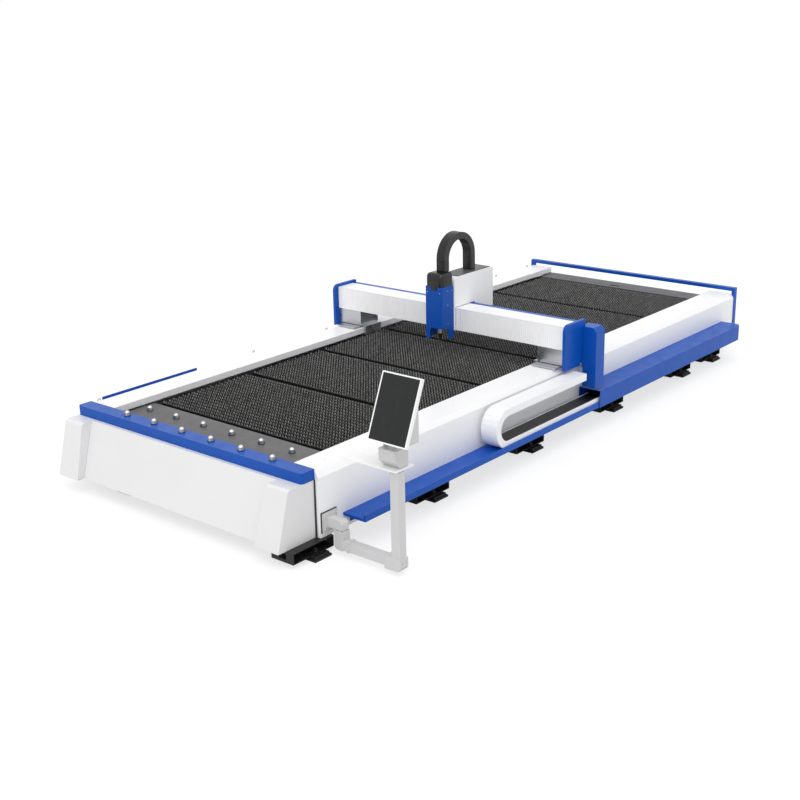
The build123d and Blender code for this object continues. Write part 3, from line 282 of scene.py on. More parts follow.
@dataclass(frozen=True)
class Finish:
    """A named surface, whose material is built once and shared by every piece that has it."""

    name: str
    colour: Colour

    def material(self) -> bpy.types.Material:
        """Builds the material, or returns it if it was built before."""
        found = bpy.data.materials.get(self.name)
        if found:
            return found
        sheet = NodeSheet(self.name)
        self.fill(sheet)
        return sheet.material

    def fill(self, sheet: NodeSheet) -> None:
        """Lays out the finish's nodes on its sheet."""
        raise NotImplementedError(self.name)

    def tones(self, drift: float) -> tuple[Colour, Colour]:
        """Returns the colour made darker and made lighter by a share."""
        return (shaded(self.colour, 1 - drift), shaded(self.colour, 1 + drift))


@dataclass(frozen=True)
class Paint(Finish):
    """Powder coat on sheet metal: fine orange peel, and a tone that drifts a little over a large panel."""

    roughness: float = 0.32
    gloss: float = 0.5
    peel: float = 0.06
    drift: float = 0.05
    peel_cycles: float = 150.0
    peel_depth: float = 0.0003

    def fill(self, sheet: NodeSheet) -> None:
        """Lays out the drifting tone, the uneven gloss and the orange peel."""
        tone = sheet.noise((1.3, 0.9, 1.7), 4.0)
        sheet.tint(sheet.spread(tone, 0.35, 0.65, 0.0, 1.0), *self.tones(self.drift))
        sheet.dull(sheet.noise((9.0, 7.0, 9.0), 5.0), self.roughness - 0.05, self.roughness + 0.07)
        sheet.shader.inputs["Specular IOR Level"].default_value = self.gloss
        sheet.relief(sheet.noise((self.peel_cycles,) * 3, 2.0), self.peel, self.peel_depth)


@dataclass(frozen=True)
class Metal(Finish):
    """Bare or plated metal, ground or rolled along one axis."""

    roughness: float = 0.3
    grain: Axis = Axis.ALONG
    grooves: float = 0.25
    drift: float = 0.12
    fine_cycles: float = 900.0
    long_cycles: float = 14.0
    groove_depth: float = 0.0002

    def fill(self, sheet: NodeSheet) -> None:
        """Lays out the grain's lines, which colour and groove the metal, and its smears."""
        scale = [self.fine_cycles] * 3
        scale[self.grain.value] = self.long_cycles
        lines = sheet.noise((scale[0], scale[1], scale[2]), 4.0)
        sheet.tint(sheet.spread(lines, *NOISE_RANGE, 0.0, 1.0), *self.tones(self.drift))
        sheet.dull(sheet.noise((6.0, 6.0, 6.0), 5.0), self.roughness * 0.75, self.roughness * 1.35)
        sheet.shader.inputs["Metallic"].default_value = 1.0
        sheet.relief(lines, self.grooves, self.groove_depth)


@dataclass(frozen=True)
class Moulded(Finish):
    """Moulded plastic or rubber with a fine pebbled skin."""

    roughness: float = 0.45
    pebble: float = 0.2
    grains: float = 1400.0
    drift: float = 0.08
    pebble_depth: float = 0.0003

    def fill(self, sheet: NodeSheet) -> None:
        """Lays out the mottled tone and the pebbled skin."""
        tone = sheet.spread(sheet.noise((18.0, 18.0, 18.0), 5.0), *NOISE_RANGE, 0.0, 1.0)
        sheet.tint(tone, *self.tones(self.drift))
        self.skin(sheet)

    def skin(self, sheet: NodeSheet) -> None:
        """Lays out the uneven gloss and the pebbles."""
        sheet.dull(sheet.noise((55.0, 55.0, 55.0), 3.0), self.roughness - 0.06, self.roughness + 0.08)
        sheet.relief(sheet.grains(self.grains), self.pebble, self.pebble_depth)


@dataclass(frozen=True)
class Jointed(Moulded):
    """Moulded plastic of a straight run of chain, with a fine dark joint between one link and the next."""

    pitch: float = 0.05
    joint_share: float = 0.022
    joint_shade: float = 0.55

    def fill(self, sheet: NodeSheet) -> None:
        """Lays out the joints along the machine and the pebbled skin."""
        links = sheet.calculated("MULTIPLY", sheet.coordinate("Y"), 1 / self.pitch)
        joint = sheet.calculated("LESS_THAN", sheet.calculated("FRACT", links, 0.0), self.joint_share)
        sheet.tint(joint, self.colour, shaded(self.colour, self.joint_shade))
        self.skin(sheet)


@dataclass(frozen=True)
class Scale(Finish):
    """Hot-rolled steel with its dark scale, lighter above a height: worn where sheets rub along the tooth
    tips, and painted light down the lit teeth.
    """

    worn_and_lit_tone: Colour
    wear_and_light_start_z: float
    wear_and_light_end_z: float
    roughness: float = 0.55
    metallic: float = 0.35
    relief_depth: float = 0.0004

    def fill(self, sheet: NodeSheet) -> None:
        """Lays out the tips' wear and the painted light on the teeth, which grow with the height and come in
        patches, and the rough scale.
        """
        height = sheet.spread(sheet.coordinate("Z"), self.wear_and_light_start_z, self.wear_and_light_end_z, 0.0, 1.0)
        patches = sheet.spread(sheet.noise((30.0, 8.0, 60.0), 5.0), 0.35, 0.65, 0.35, 1.0)
        # Rubbed wear at the tooth tips and painted light on the teeth, over the dark scale below.
        sheet.tint(sheet.calculated("MULTIPLY", height, patches), self.colour, self.worn_and_lit_tone)
        sheet.dull(sheet.noise((40.0, 40.0, 40.0), 3.0), self.roughness - 0.12, self.roughness + 0.12)
        sheet.shader.inputs["Metallic"].default_value = self.metallic
        sheet.relief(sheet.noise((260.0, 260.0, 260.0), 4.0), 0.3, self.relief_depth)


@dataclass(frozen=True)
class Woven(Finish):
    """Coated curtain fabric: a fine weave under a matt coat."""

    weave_cycles: float = 45.0
    weave: float = 0.25
    thread_depth: float = 0.0002
    soiling: float = 0.965

    def fill(self, sheet: NodeSheet) -> None:
        """Lays out the weave's two directions and the faint soiling."""
        cloth = sheet.calculated("MAXIMUM", self.threads(sheet, "X"), self.threads(sheet, "Z"))
        tone = sheet.spread(sheet.noise((11.0, 11.0, 3.0), 4.0), *NOISE_RANGE, 0.0, 1.0)
        sheet.tint(tone, shaded(self.colour, self.soiling), self.colour)
        sheet.join(sheet.spread(cloth, 0.0, 1.0, 0.62, 0.5), sheet.shader.inputs["Roughness"])
        sheet.shader.inputs["Sheen Weight"].default_value = 0.15
        sheet.relief(cloth, self.weave, self.thread_depth)

    def threads(self, sheet: NodeSheet, direction: str) -> bpy.types.NodeSocket:
        """Gives the height of the threads that lie side by side in one direction."""
        wave = sheet.tree.nodes.new("ShaderNodeTexWave")
        wave.bands_direction = direction
        wave.inputs["Scale"].default_value = self.weave_cycles
        sheet.join(sheet.place, wave.inputs["Vector"])
        return wave.outputs["Fac"]


@dataclass(frozen=True)
class Display(Finish):
    """A switched-off display behind its cover glass."""

    gloss: float = 0.3
    glass_waves: float = 0.02

    def fill(self, sheet: NodeSheet) -> None:
        """Lays out the glass with its smears."""
        smear = sheet.noise((14.0, 14.0, 5.0), 5.0)
        tone = sheet.spread(smear, *NOISE_RANGE, 0.0, 1.0)
        sheet.tint(tone, shaded(self.colour, 0.9), shaded(self.colour, 1.12))
        sheet.dull(smear, 0.16, 0.3)
        sheet.shader.inputs["Specular IOR Level"].default_value = self.gloss
        sheet.relief(sheet.noise((700.0, 700.0, 700.0), 2.0), self.glass_waves, 0.0002)


BLUE_PAINT = Paint("blue_powder_coat", srgb(2, 77, 171), 0.34, 0.24, 0.008, 0.03)
WHITE_PAINT = Paint("white_powder_coat", srgb(241, 241, 242), 0.34, 0.45, 0.07, 0.012)
# The covers' white paint made darker for the front panel and front housings: painted shade of their front
# faces.
SHADED_FRONT_WHITE_PAINT = Paint("white_powder_coat_painted_front_shade", srgb(222, 222, 223), 0.36, 0.45, 0.07, 0.012)
GREY_PAINT = Paint("grey_deck_coat", srgb(84, 84, 85), 0.42, 0.4, 0.12, 0.04)
CONSOLE_PAINT = Paint("light_grey_console_coat", srgb(202, 201, 201), 0.36, 0.45, 0.08, 0.015)
FRAME_PAINT = Paint("dark_frame_coat", srgb(40, 42, 46), 0.5, 0.4, 0.1, 0.06)
BLACK_PAINT = Paint("black_foot_coat", srgb(24, 24, 25), 0.42, 0.45, 0.14, 0.1)
# The slats' teeth lighten towards the tips: rubbed wear there, and painted light on the lit teeth.
SLAT_STEEL = Scale("scaled_slat_steel", srgb(16, 16, 16), srgb(178, 178, 176), 0.622, 0.648)
TRAY_STEEL = Paint("oiled_tray_steel", srgb(30, 30, 31), 0.5, 0.4, 0.15, 0.12)
BRIGHT_STEEL = Metal("ground_steel", srgb(176, 178, 182), 0.28, Axis.ALONG)
STAINLESS = Metal("brushed_stainless", srgb(196, 198, 202), 0.3, Axis.UP, 0.3, 0.08)
CHROME = Metal("polished_ball_steel", srgb(226, 228, 230), 0.1, Axis.ACROSS, 0.04, 0.03)
CUP_STEEL = Metal("pressed_cup_steel", srgb(150, 152, 156), 0.32, Axis.ACROSS, 0.1, 0.1)
DARK_BOLT = Metal("blackened_bolt_steel", srgb(46, 47, 50), 0.42, Axis.UP, 0.2, 0.1)
BLACK_PLASTIC = Moulded("black_moulded_plastic", srgb(13, 13, 14), 0.36, 0.15)
WHITE_PLASTIC = Moulded("white_moulded_plastic", srgb(238, 239, 241), 0.4, 0.15, 1100.0, 0.012)
LINKED_WHITE = Jointed("white_chain_run_plastic", srgb(238, 239, 241), 0.4, 0.15, 1100.0)
LINKED_BLACK = Jointed("black_chain_run_plastic", srgb(20, 20, 21), 0.4, 0.15, 1100.0)
CURTAIN = Woven("white_curtain_fabric", srgb(250, 250, 251))
ALUMINIUM = Metal("turned_aluminium", srgb(198, 199, 202), 0.3, Axis.ACROSS, 0.2, 0.08)
BRASS = Metal("darkened_nozzle_brass", srgb(104, 88, 66), 0.24, Axis.ACROSS, 0.2, 0.08)
SCREEN_FACE = Display("dark_display_glass", srgb(30, 31, 32))
GUIDE_SIDE = Moulded("cable_guide_side_plastic", srgb(36, 36, 37), 0.36, 0.15)
GLOSS_BLACK = Moulded("glossy_black_shell", srgb(10, 10, 11), 0.16, 0.02)
RUBBER = Moulded("dark_seal_rubber", srgb(34, 35, 38), 0.6, 0.1)

# The front panel and front housings take the white paint with painted shade.
NODE_FINISHES = {
    "front_panel": SHADED_FRONT_WHITE_PAINT,
    "front_housings": SHADED_FRONT_WHITE_PAINT,
    "keyboard_tray": WHITE_PAINT,
}

SLOT_FINISHES = {
    "blue_paint": BLUE_PAINT,
    "white_paint": WHITE_PAINT,
    "grey_paint": GREY_PAINT,
    "console_paint": CONSOLE_PAINT,
    "frame_paint": FRAME_PAINT,
    "black_paint": BLACK_PAINT,
    "slat_steel": SLAT_STEEL,
    "bright_steel": BRIGHT_STEEL,
    "stainless": STAINLESS,
    "ball_chrome": CHROME,
    "black_plastic": BLACK_PLASTIC,
    "white_plastic": WHITE_PLASTIC,
    "bellows_cloth": CURTAIN,
    "cut_aluminium": ALUMINIUM,
    "nozzle_brass": BRASS,
    "screen_face": SCREEN_FACE,
}


class Draft:
    """A mesh as it is drawn: shape after shape goes in, and it leaves as one piece of the machine."""

    def __init__(self, name: str, *finishes: Finish) -> None:
        """Starts an empty mesh.

        Args:
            name: The piece's name.
            finishes: Its finishes, in the order that faces refer to them.
        """
        self.name = name
        self.finishes = finishes
        self.points: list[Point] = []
        self.faces: list[tuple[int, ...]] = []
        self.kinds: list[int] = []

    def add(self, points: list[Point], faces: list[tuple[int, ...]], kind: int = 0) -> None:
        """Adds a shape.

        Args:
            points: Its corners.
            faces: Its faces, as places in points.
            kind: Which finish it has.
        """
        start = len(self.points)
        self.points.extend(points)
        self.faces.extend(tuple(start + corner for corner in face) for face in faces)
        self.kinds.extend([kind] * len(faces))

    def block(self, low: Point, high: Point, edge: float, kind: int = 0) -> None:
        """Adds a block with all its edges rounded.

        Args:
            low: Its lowest corner.
            high: Its highest corner.
            edge: The rounding's width, which a thin block takes less of.
            kind: Which finish it has.
        """
        mesh = self.cube(low, high)
        width = min(edge, 0.45 * min(end - start for start, end in zip(low, high)))
        bmesh.ops.bevel(mesh, geom=mesh.edges[:], offset=width, segments=2, profile=0.5, affect="EDGES")
        self.take(mesh, kind)

    def hood(self, low: Point, high: Point, radius: float, segments: int = 6) -> None:
        """Adds a block whose front and upper edges are rounded, and whose foot and rear stay sharp.

        Args:
            low: Its lowest corner.
            high: Its highest corner.
            radius: The radius of the rounding.
            segments: How many flats make the rounding.
        """
        mesh = self.cube(low, high)
        level, depth = (low[2] + high[2]) / 2, (low[1] + high[1]) / 2
        edges = [edge for edge in mesh.edges if any(vertex.co.z > level for vertex in edge.verts)
                 and any(vertex.co.y < depth for vertex in edge.verts)]
        bmesh.ops.bevel(mesh, geom=edges, offset=radius, segments=segments, profile=0.5, affect="EDGES")
        self.take(mesh)

    @staticmethod
    def cube(low: Point, high: Point) -> bmesh.types.BMesh:
        """Returns the mesh of a sharp block between two corners."""
        mesh = bmesh.new()
        bmesh.ops.create_cube(mesh, size=1.0)
        for vertex in mesh.verts:
            vertex.co = Vector([(low[i] + high[i]) / 2 + vertex.co[i] * (high[i] - low[i]) for i in range(3)])
        return mesh

    def take(self, mesh: bmesh.types.BMesh, kind: int = 0) -> None:
        """Adds a mesh that was made with Blender's own operations, and frees it.

        Args:
            mesh: The mesh.
            kind: Which finish it has.
        """
        mesh.verts.index_update()
        self.add([tuple(vertex.co) for vertex in mesh.verts],
                 [tuple(vertex.index for vertex in face.verts) for face in mesh.faces], kind)
        mesh.free()

    def upright(self, outline: list[Flat], low_z: float, high_z: float) -> None:
        """Adds an outline drawn straight up.

        Args:
            outline: Its corners seen from above, anticlockwise.
            low_z: Where it starts.
            high_z: Where it ends.
        """
        count = len(outline)
        points = [(x, y, z) for z in (low_z, high_z) for x, y in outline]
        faces: list[tuple[int, ...]] = [tuple(range(count - 1, -1, -1)), tuple(range(count, 2 * count))]
        for corner in range(count):
            after = (corner + 1) % count
            faces.append((corner, after, count + after, count + corner))
        self.add(points, faces)

    def turned(self, centre: Point, profile: Profile, axis: Axis = Axis.UP, steps: int = 24, kind: int = 0,
               capped: bool = True) -> None:
        """Adds a shape turned round an axis.

        Args:
            centre: A point on the axis that heights are counted from.
            profile: Radius and height of each ring, from one end to the other.
            axis: The direction of the axis.
            steps: How many sides a ring has.
            kind: Which finish it has.
            capped: Whether its two ends are closed.
        """
        points: list[Point] = []
        faces: list[tuple[int, ...]] = []
        for radius, height in profile:
            for step in range(steps):
                turn = 2 * math.pi * step / steps
                first = radius * math.cos(turn)
                second = radius * math.sin(turn)
                if axis is Axis.UP:
                    spot = (first, second, height)
                elif axis is Axis.ACROSS:
                    spot = (height, first, second)
                else:
                    spot = (second, height, first)
                points.append((centre[0] + spot[0], centre[1] + spot[1], centre[2] + spot[2]))
        for ring in range(len(profile) - 1):
            for step in range(steps):
                after = (step + 1) % steps
                low = ring * steps
                faces.append((low + step, low + after, low + steps + after, low + steps + step))
        if capped:
            last = (len(profile) - 1) * steps
            faces.append(tuple(range(steps - 1, -1, -1)))
            faces.append(tuple(range(last, last + steps)))
        self.add(points, faces, kind)

    def ball(self, centre: Point, radius: float, rings: int = 16) -> None:
        """Adds a ball, with its poles up and down and twice as many sides as rings.

        Args:
            centre: Its centre.
            radius: Its radius.
            rings: How many rings it has from pole to pole.
        """
        profile = []
        for ring in range(rings + 1):
            turn = math.pi * (ring / rings - 0.5)
            profile.append((max(radius * math.cos(turn), radius * 0.002), radius * math.sin(turn)))
        self.turned(centre, profile, Axis.UP, 2 * rings)

    def piece(self, body: Body | None, slot: str | None = None, smooth: float = 0.0) -> bpy.types.Object:
        """Makes the drawn mesh a piece of the machine.

        Args:
            body: The body that it rides on, or None where it is blended later.
            slot: The record's material slot of its finish; not used.
            smooth: The angle in degrees under which edges are smooth, or 0 for flat faces.

        Returns:
            The piece.
        """
        mesh = bpy.data.meshes.new(self.name)
        mesh.from_pydata(self.points, [], self.faces)
        mesh.polygons.foreach_set("material_index", self.kinds)
        for finish in self.finishes:
            mesh.materials.append(finish.material())
        mesh.update()
        thing = placed(self.name, mesh)
        if smooth > 0:
            mesh.polygons.foreach_set("use_smooth", [True] * len(mesh.polygons))
            mesh.set_sharp_from_angle(angle=math.radians(smooth))
        if body:
            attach(thing, body.value)
        LOG.info("%s: %d faces", self.name, len(mesh.polygons))
        return thing


@dataclass
class Studio:
    """The plain pale floor, the soft light and the camera."""

    camera_offset: Point = (8.0414, -6.5598, 3.6810)
    yaw: float = 40.232
    pitch: float = 18.372
    roll: float = -1.212
    lens: float = 56.51
    floor_half: float = 200.0
    floor_glow: float = 1.14
    floor_glow_share: float = 0.62
    floor_tones: tuple[Colour, Colour] = ((0.8, 0.8, 0.8), (0.82, 0.82, 0.82))
    ambient: float = 0.78
    # Each lamp's name, its strength, the width of its disc in degrees and where it shines to.
    lamps: tuple[tuple[str, float, float, Point], ...] = (("studio_key", 1.1, 50.0, (-0.30, 0.34, -1.0)),
                                                          ("studio_front", 0.36, 40.0, (-0.22, 0.9, -0.45)))

    def build(self) -> None:
        """Sets up the camera, the floor, the world and the lamps."""
        self.place_camera()
        self.lay_floor()
        self.light_world()
        self.hang_lamps()

    def place_camera(self) -> None:
        """Puts the camera where the photograph was taken from."""
        low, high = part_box("front_bar")
        corner = Vector(((low[0] + high[0]) / 2, low[1], high[2]))
        data = bpy.data.cameras.new("camera")
        data.lens = self.lens
        data.sensor_width = 36.0
        data.clip_end = 1000.0
        camera = placed("camera", data)
        yaw = Matrix.Rotation(math.radians(self.yaw), 4, "Z")
        pitch = Matrix.Rotation(math.radians(90 - self.pitch), 4, "X")
        roll = Matrix.Rotation(math.radians(self.roll), 4, "Z")
        camera.matrix_world = Matrix.Translation(corner + Vector(self.camera_offset)) @ yaw @ pitch @ roll
        bpy.context.scene.camera = camera

    def lay_floor(self) -> None:
        """Lays the pale floor, which takes the machine's shadow."""
        half = self.floor_half
        mesh = bpy.data.meshes.new("studio_floor")
        mesh.from_pydata([(-half, -half, 0.0), (half, -half, 0.0), (half, half, 0.0), (-half, half, 0.0)], [],
                         [(0, 1, 2, 3)])
        floor = placed("studio_floor", mesh)
        sheet = NodeSheet("studio_floor_paper")
        tree = sheet.tree
        sheet.shader.inputs["Roughness"].default_value = 0.9
        sheet.shader.inputs["Specular IOR Level"].default_value = 0.1
        tone = sheet.spread(sheet.noise((2.0, 2.0, 2.0), 3.0), *NOISE_RANGE, 0.0, 1.0)
        sheet.tint(tone, *self.floor_tones)
        glow = tree.nodes.new("ShaderNodeEmission")
        glow.inputs["Strength"].default_value = self.floor_glow
        share = tree.nodes.new("ShaderNodeMixShader")
        seen = tree.nodes.new("ShaderNodeLightPath")
        amount = sheet.calculated("MULTIPLY", seen.outputs["Is Camera Ray"], self.floor_glow_share)
        sheet.join(amount, share.inputs["Fac"])
        sheet.join(sheet.shader.outputs[0], share.inputs[1])
        sheet.join(glow.outputs[0], share.inputs[2])
        sheet.join(share.outputs[0], sheet.output.inputs["Surface"])
        mesh.materials.append(sheet.material)

    def light_world(self) -> None:
        """Makes the surroundings white to the eye and in gloss, and a little softer as light."""
        world = bpy.data.worlds.new("studio_world")
        bpy.context.scene.world = world
        world.use_nodes = True
        tree = world.node_tree
        tree.nodes.clear()
        output = tree.nodes.new("ShaderNodeOutputWorld")
        back = tree.nodes.new("ShaderNodeBackground")
        back.inputs["Color"].default_value = (1.0, 1.0, 1.0, 1.0)
        path = tree.nodes.new("ShaderNodeLightPath")
        seen = path.outputs["Is Camera Ray"]
        for ray in ("Is Glossy Ray", "Is Transmission Ray"):
            either = tree.nodes.new("ShaderNodeMath")
            either.operation = "MAXIMUM"
            tree.links.new(seen, either.inputs[0])
            tree.links.new(path.outputs[ray], either.inputs[1])
            seen = either.outputs[0]
        strength = tree.nodes.new("ShaderNodeMapRange")
        strength.inputs["To Min"].default_value = self.ambient
        strength.inputs["To Max"].default_value = 1.0
        tree.links.new(seen, strength.inputs["Value"])
        tree.links.new(strength.outputs["Result"], back.inputs["Strength"])
        tree.links.new(back.outputs[0], output.inputs["Surface"])

    def hang_lamps(self) -> None:
        """Hangs one wide soft lamp high up on the camera's side, and a weaker one low in front."""
        for name, energy, spread, heading in self.lamps:
            data = bpy.data.lights.new(name, "SUN")
            data.energy = energy
            data.angle = math.radians(spread)
            lamp = placed(name, data)
            lamp.rotation_euler = Vector(heading).to_track_quat("-Z", "Y").to_euler()


@dataclass
class SheetWork:
    """The carried-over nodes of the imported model: each gets its finish, and its edges a small radius."""

    edge: float = 0.0016
    smallest_angle: float = 32.0
    weld_distance: float = 0.00002
    level_angle: float = 0.6
    round_edges: tuple[tuple[str, float], ...] = (("console_mount", 0.014), ("console_arm", 0.014),
                                                  ("console_pole", 0.012), ("chain_column", 0.004),
                                                  ("end_plates", 0.003), ("screen_turret", 0.003))

    def dress(self) -> None:
        """Gives every node its finish by the record's slots, and softens its edges."""
        slots = {part["node"]: part["material_slot"] for part in frame["record"]["subparts"]}
        for name, thing in frame["nodes"].items():
            finish = NODE_FINISHES.get(name) or SLOT_FINISHES[slots[name]]
            for slot in thing.material_slots:
                slot.material = finish.material()
            self.soften(thing)

    def soften(self, thing: bpy.types.Object) -> None:
        """Welds a node's facets, joins level ones and rounds its sharp edges.

        Args:
            thing: The node's object.
        """
        weld = thing.modifiers.new("weld", "WELD")
        weld.merge_threshold = self.weld_distance
        level = thing.modifiers.new("level", "DECIMATE")
        level.decimate_type = "DISSOLVE"
        level.angle_limit = math.radians(self.level_angle)
        round_off = thing.modifiers.new("round_off", "BEVEL")
        round_off.limit_method = "ANGLE"
        round_off.angle_limit = math.radians(self.smallest_angle)
        width = dict(self.round_edges).get(thing.name, self.edge)
        round_off.width = width
        round_off.segments = 2 if width <= self.edge else 4
        round_off.harden_normals = True
        shade = thing.modifiers.new("shade", "WEIGHTED_NORMAL")
        shade.keep_sharp = True


@dataclass
class SlatBays:
    """Six drop-in trays of upright slats, each slat with a row of pointed teeth that sheet metal rests on."""

    bays: int = 6
    pitch: float = 0.06
    thickness: float = 0.004
    tooth_pitch: float = 0.035
    tooth_depth: float = 0.026
    tip: float = 0.004
    end_inset: float = 0.004
    side_inset: float = 0.009
    foot_lift: float = 0.02
    sheet: float = 0.008
    rim_drop: float = 0.03
    comb_height: float = 0.04
    comb_shares: tuple[float, ...] = (0.25, 0.5, 0.75)
    edge: float = 0.001

    def build(self) -> None:
        """Builds the slats and the tray of each bay."""
        for bay in range(1, self.bays + 1):
            node = f"slat_bay_{bay}"
            low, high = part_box(node)
            slats = self.slats(bay, low, high)
            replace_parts(slats, node)
            self.tray(bay, low, high)

    def slats(self, bay: int, low: Vector, high: Vector) -> bpy.types.Object:
        """Builds the slats of one bay.

        Args:
            bay: The bay's number from the front.
            low: The lowest corner of its node.
            high: The highest corner of its node.

        Returns:
            The piece.
        """
        draft = Draft(f"toothed_slats_{bay}", SLAT_STEEL)
        count = int((high[1] - low[1] - 2 * self.end_inset) / self.pitch)
        first = (low[1] + high[1]) / 2 - (count - 1) * self.pitch / 2
        ends = (low[0] + self.side_inset, high[0] - self.side_inset)
        for row in range(count):
            shift = 0.5 * self.tooth_pitch * (row % 2)
            self.slat(draft, ends, first + row * self.pitch, (low[2] + self.foot_lift, high[2]), shift)
        return draft.piece(Body.BASE, "slat_steel")

    def slat(self, draft: Draft, ends: Flat, y: float, heights: Flat, shift: float) -> None:
        """Adds one slat as its two faces and the strip of its toothed edge.

        Args:
            draft: The mesh it goes into.
            ends: Its left and its right end.
            y: Its middle plane.
            heights: Its lower edge and the tips of its teeth.
            shift: How far its teeth are moved along.
        """
        (x0, x1), (foot, top) = ends, heights
        outline: list[Flat] = [(x0, top - self.tooth_depth)]
        tooth = 0
        while True:
            peak = x0 + shift + (tooth + 0.5) * self.tooth_pitch
            if peak + self.tooth_pitch / 2 > x1:
                break
            outline += [(peak - self.tip, top), (peak + self.tip, top),
                        (peak + self.tooth_pitch / 2, top - self.tooth_depth)]
            tooth += 1
        outline.append((x1, top - self.tooth_depth))
        count = len(outline)
        half = self.thickness / 2
        points: list[Point] = []
        for side in (y - half, y + half):
            points.extend((x, side, z) for x, z in outline)
            points.extend((x, side, foot) for x, _ in outline)
        faces: list[tuple[int, ...]] = []
        back = 2 * count
        for spot in range(count - 1):
            after = spot + 1
            faces += [(count + spot, count + after, after, spot),
                      (back + spot, back + after, back + count + after, back + count + spot),
                      (spot, after, back + after, back + spot),
                      (back + count + spot, back + count + after, count + after, count + spot)]
        faces += [(count, 0, back, back + count),
                  (count - 1, 2 * count - 1, back + 2 * count - 1, back + count - 1)]
        draft.add(points, faces)

    def tray(self, bay: int, low: Vector, high: Vector) -> None:
        """Builds the tray of one bay: its rim and the combs that carry the slats.

        Args:
            bay: The bay's number from the front.
            low: The lowest corner of its node.
            high: The highest corner of its node.
        """
        draft = Draft(f"slat_tray_{bay}", TRAY_STEEL)
        sheet = self.sheet
        rim = high[2] - self.rim_drop
        for x in (low[0], high[0] - sheet):
            draft.block((x, low[1], low[2]), (x + sheet, high[1], rim), self.edge)
        for y in (low[1], high[1] - sheet):
            draft.block((low[0] + sheet, y, low[2]), (high[0] - sheet, y + sheet, rim), self.edge)
        for share in self.comb_shares:
            x = low[0] + share * (high[0] - low[0])
            draft.block((x - sheet / 2, low[1] + sheet, low[2]),
                        (x + sheet / 2, high[1] - sheet, low[2] + self.comb_height), self.edge)
        draft.piece(Body.BASE, "slat_steel", 35.0)


@dataclass
class BallUnits:
    """Two rows of ball transfer units: a tapered housing on a dark base ring, with a ball in its lip."""

    count: int = 6
    radius: float = 0.022
    play: float = 0.0002
    floor: float = 0.0023
    steps: int = 32
    # The radius and the height of each ring of the base and of the wall, from the outside in.
    base: Profile = ((0.0324, 0.0), (0.033, 0.0008), (0.033, 0.0042), (0.032, 0.005), (0.0295, 0.005))
    wall: Profile = ((0.0295, 0.005), (0.0285, 0.008), (0.0268, 0.0255), (0.0258, 0.0282), (0.024, 0.0292),
                     (0.0232, 0.029), (0.0226, 0.028), (0.0226, 0.012))
    screw: Profile = ((0.0013, 0.0), (0.0013, 0.0006), (0.0008, 0.0009))
    screw_circle: float = 0.0312
    screw_lift: float = 0.0048
    screw_count: int = 3

    def build(self) -> None:
        """Builds both rows."""
        cups = Draft("ball_unit_housings", CUP_STEEL, DARK_BOLT)
        for node, name, body in (("balls_bar", "bar_transfer_balls", Body.BAR_BALLS),
                                 ("balls_deck", "deck_transfer_balls", Body.DECK_BALLS)):
            low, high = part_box(node)
            balls = Draft(name, CHROME)
            pitch = (high[0] - low[0] - 2 * self.radius) / (self.count - 1)
            y, z = (low[1] + high[1]) / 2, (low[2] + high[2]) / 2
            for place in range(self.count):
                centre = (low[0] + self.radius + place * pitch, y, z)
                balls.ball(centre, self.radius - self.play)
                self.housing(cups, centre)
            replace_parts(balls.piece(body, "ball_chrome", 60.0), node)
        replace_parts(cups.piece(Body.BASE, "bright_steel", 40.0), "ball_cups")

    def housing(self, draft: Draft, centre: Point) -> None:
        """Adds one housing: its base ring, its tapered wall with the lip round the ball, and three screws.

        Args:
            draft: The mesh it goes into.
            centre: The ball's centre.
        """
        x, y, foot = centre[0], centre[1], centre[2] - self.radius - self.floor
        draft.turned((x, y, foot), self.base, steps=self.steps, kind=1, capped=False)
        draft.turned((x, y, foot), self.wall, steps=self.steps, capped=False)
        for screw in range(self.screw_count):
            turn = 2 * math.pi * (screw + 0.25) / self.screw_count
            spot = (x + self.screw_circle * math.cos(turn), y + self.screw_circle * math.sin(turn),
                    foot + self.screw_lift)
            draft.turned(spot, self.screw, steps=10, kind=1)


@dataclass(frozen=True)
class Path:
    """A flat path in the upright plane along the machine: straight, or round a centre line.

    Distances out are measured from the centre line, so one cross-section runs on from a straight to a bend.
    """

    y: float
    z: float
    up: float = 1.0
    turning: bool = False

    def point(self, along: float, out: float) -> Flat:
        """Places a point of the path.

        Args:
            along: The way along it, in metres, or in radians from straight down where it turns.
            out: The distance from the centre line.

        Returns:
            Its place along the machine and its height.
        """
        if self.turning:
            return (self.y - out * math.sin(along), self.z - out * math.cos(along))
        return (self.y + along, self.z + self.up * out)


def bar_along(draft: Draft, path: Path, reach: Flat, across: Flat, out: Flat, steps: int = 1,
              edge: float = 0.00005, kind: int = 0) -> None:
    """Adds a bar of rectangular section that follows a path, its four long edges cut back by a chamfer.

    Args:
        draft: The mesh it goes into.
        path: The path.
        reach: Where on the path it starts and ends.
        across: Its two sides across the machine.
        out: Its inner and outer distance from the centre line.
        steps: How many straight pieces follow the path.
        edge: The chamfer's width.
        kind: Which finish it has.
    """
    (x0, x1), (n0, n1) = across, out
    section = [(x0 + edge, n0), (x1 - edge, n0), (x1, n0 + edge), (x1, n1 - edge),
               (x1 - edge, n1), (x0 + edge, n1), (x0, n1 - edge), (x0, n0 + edge)]
    points: list[Point] = []
    for step in range(steps + 1):
        along = reach[0] + (reach[1] - reach[0]) * step / steps
        for x, n in section:
            y, z = path.point(along, n)
            points.append((x, y, z))
    count = len(section)
    last = steps * count
    faces: list[tuple[int, ...]] = [tuple(range(count)), tuple(range(last + count - 1, last - 1, -1))]
    for step in range(steps):
        for corner in range(count):
            after = (corner + 1) % count
            low = step * count
            faces.append((low + after, low + corner, low + count + corner, low + count + after))
    draft.add(points, faces, kind)


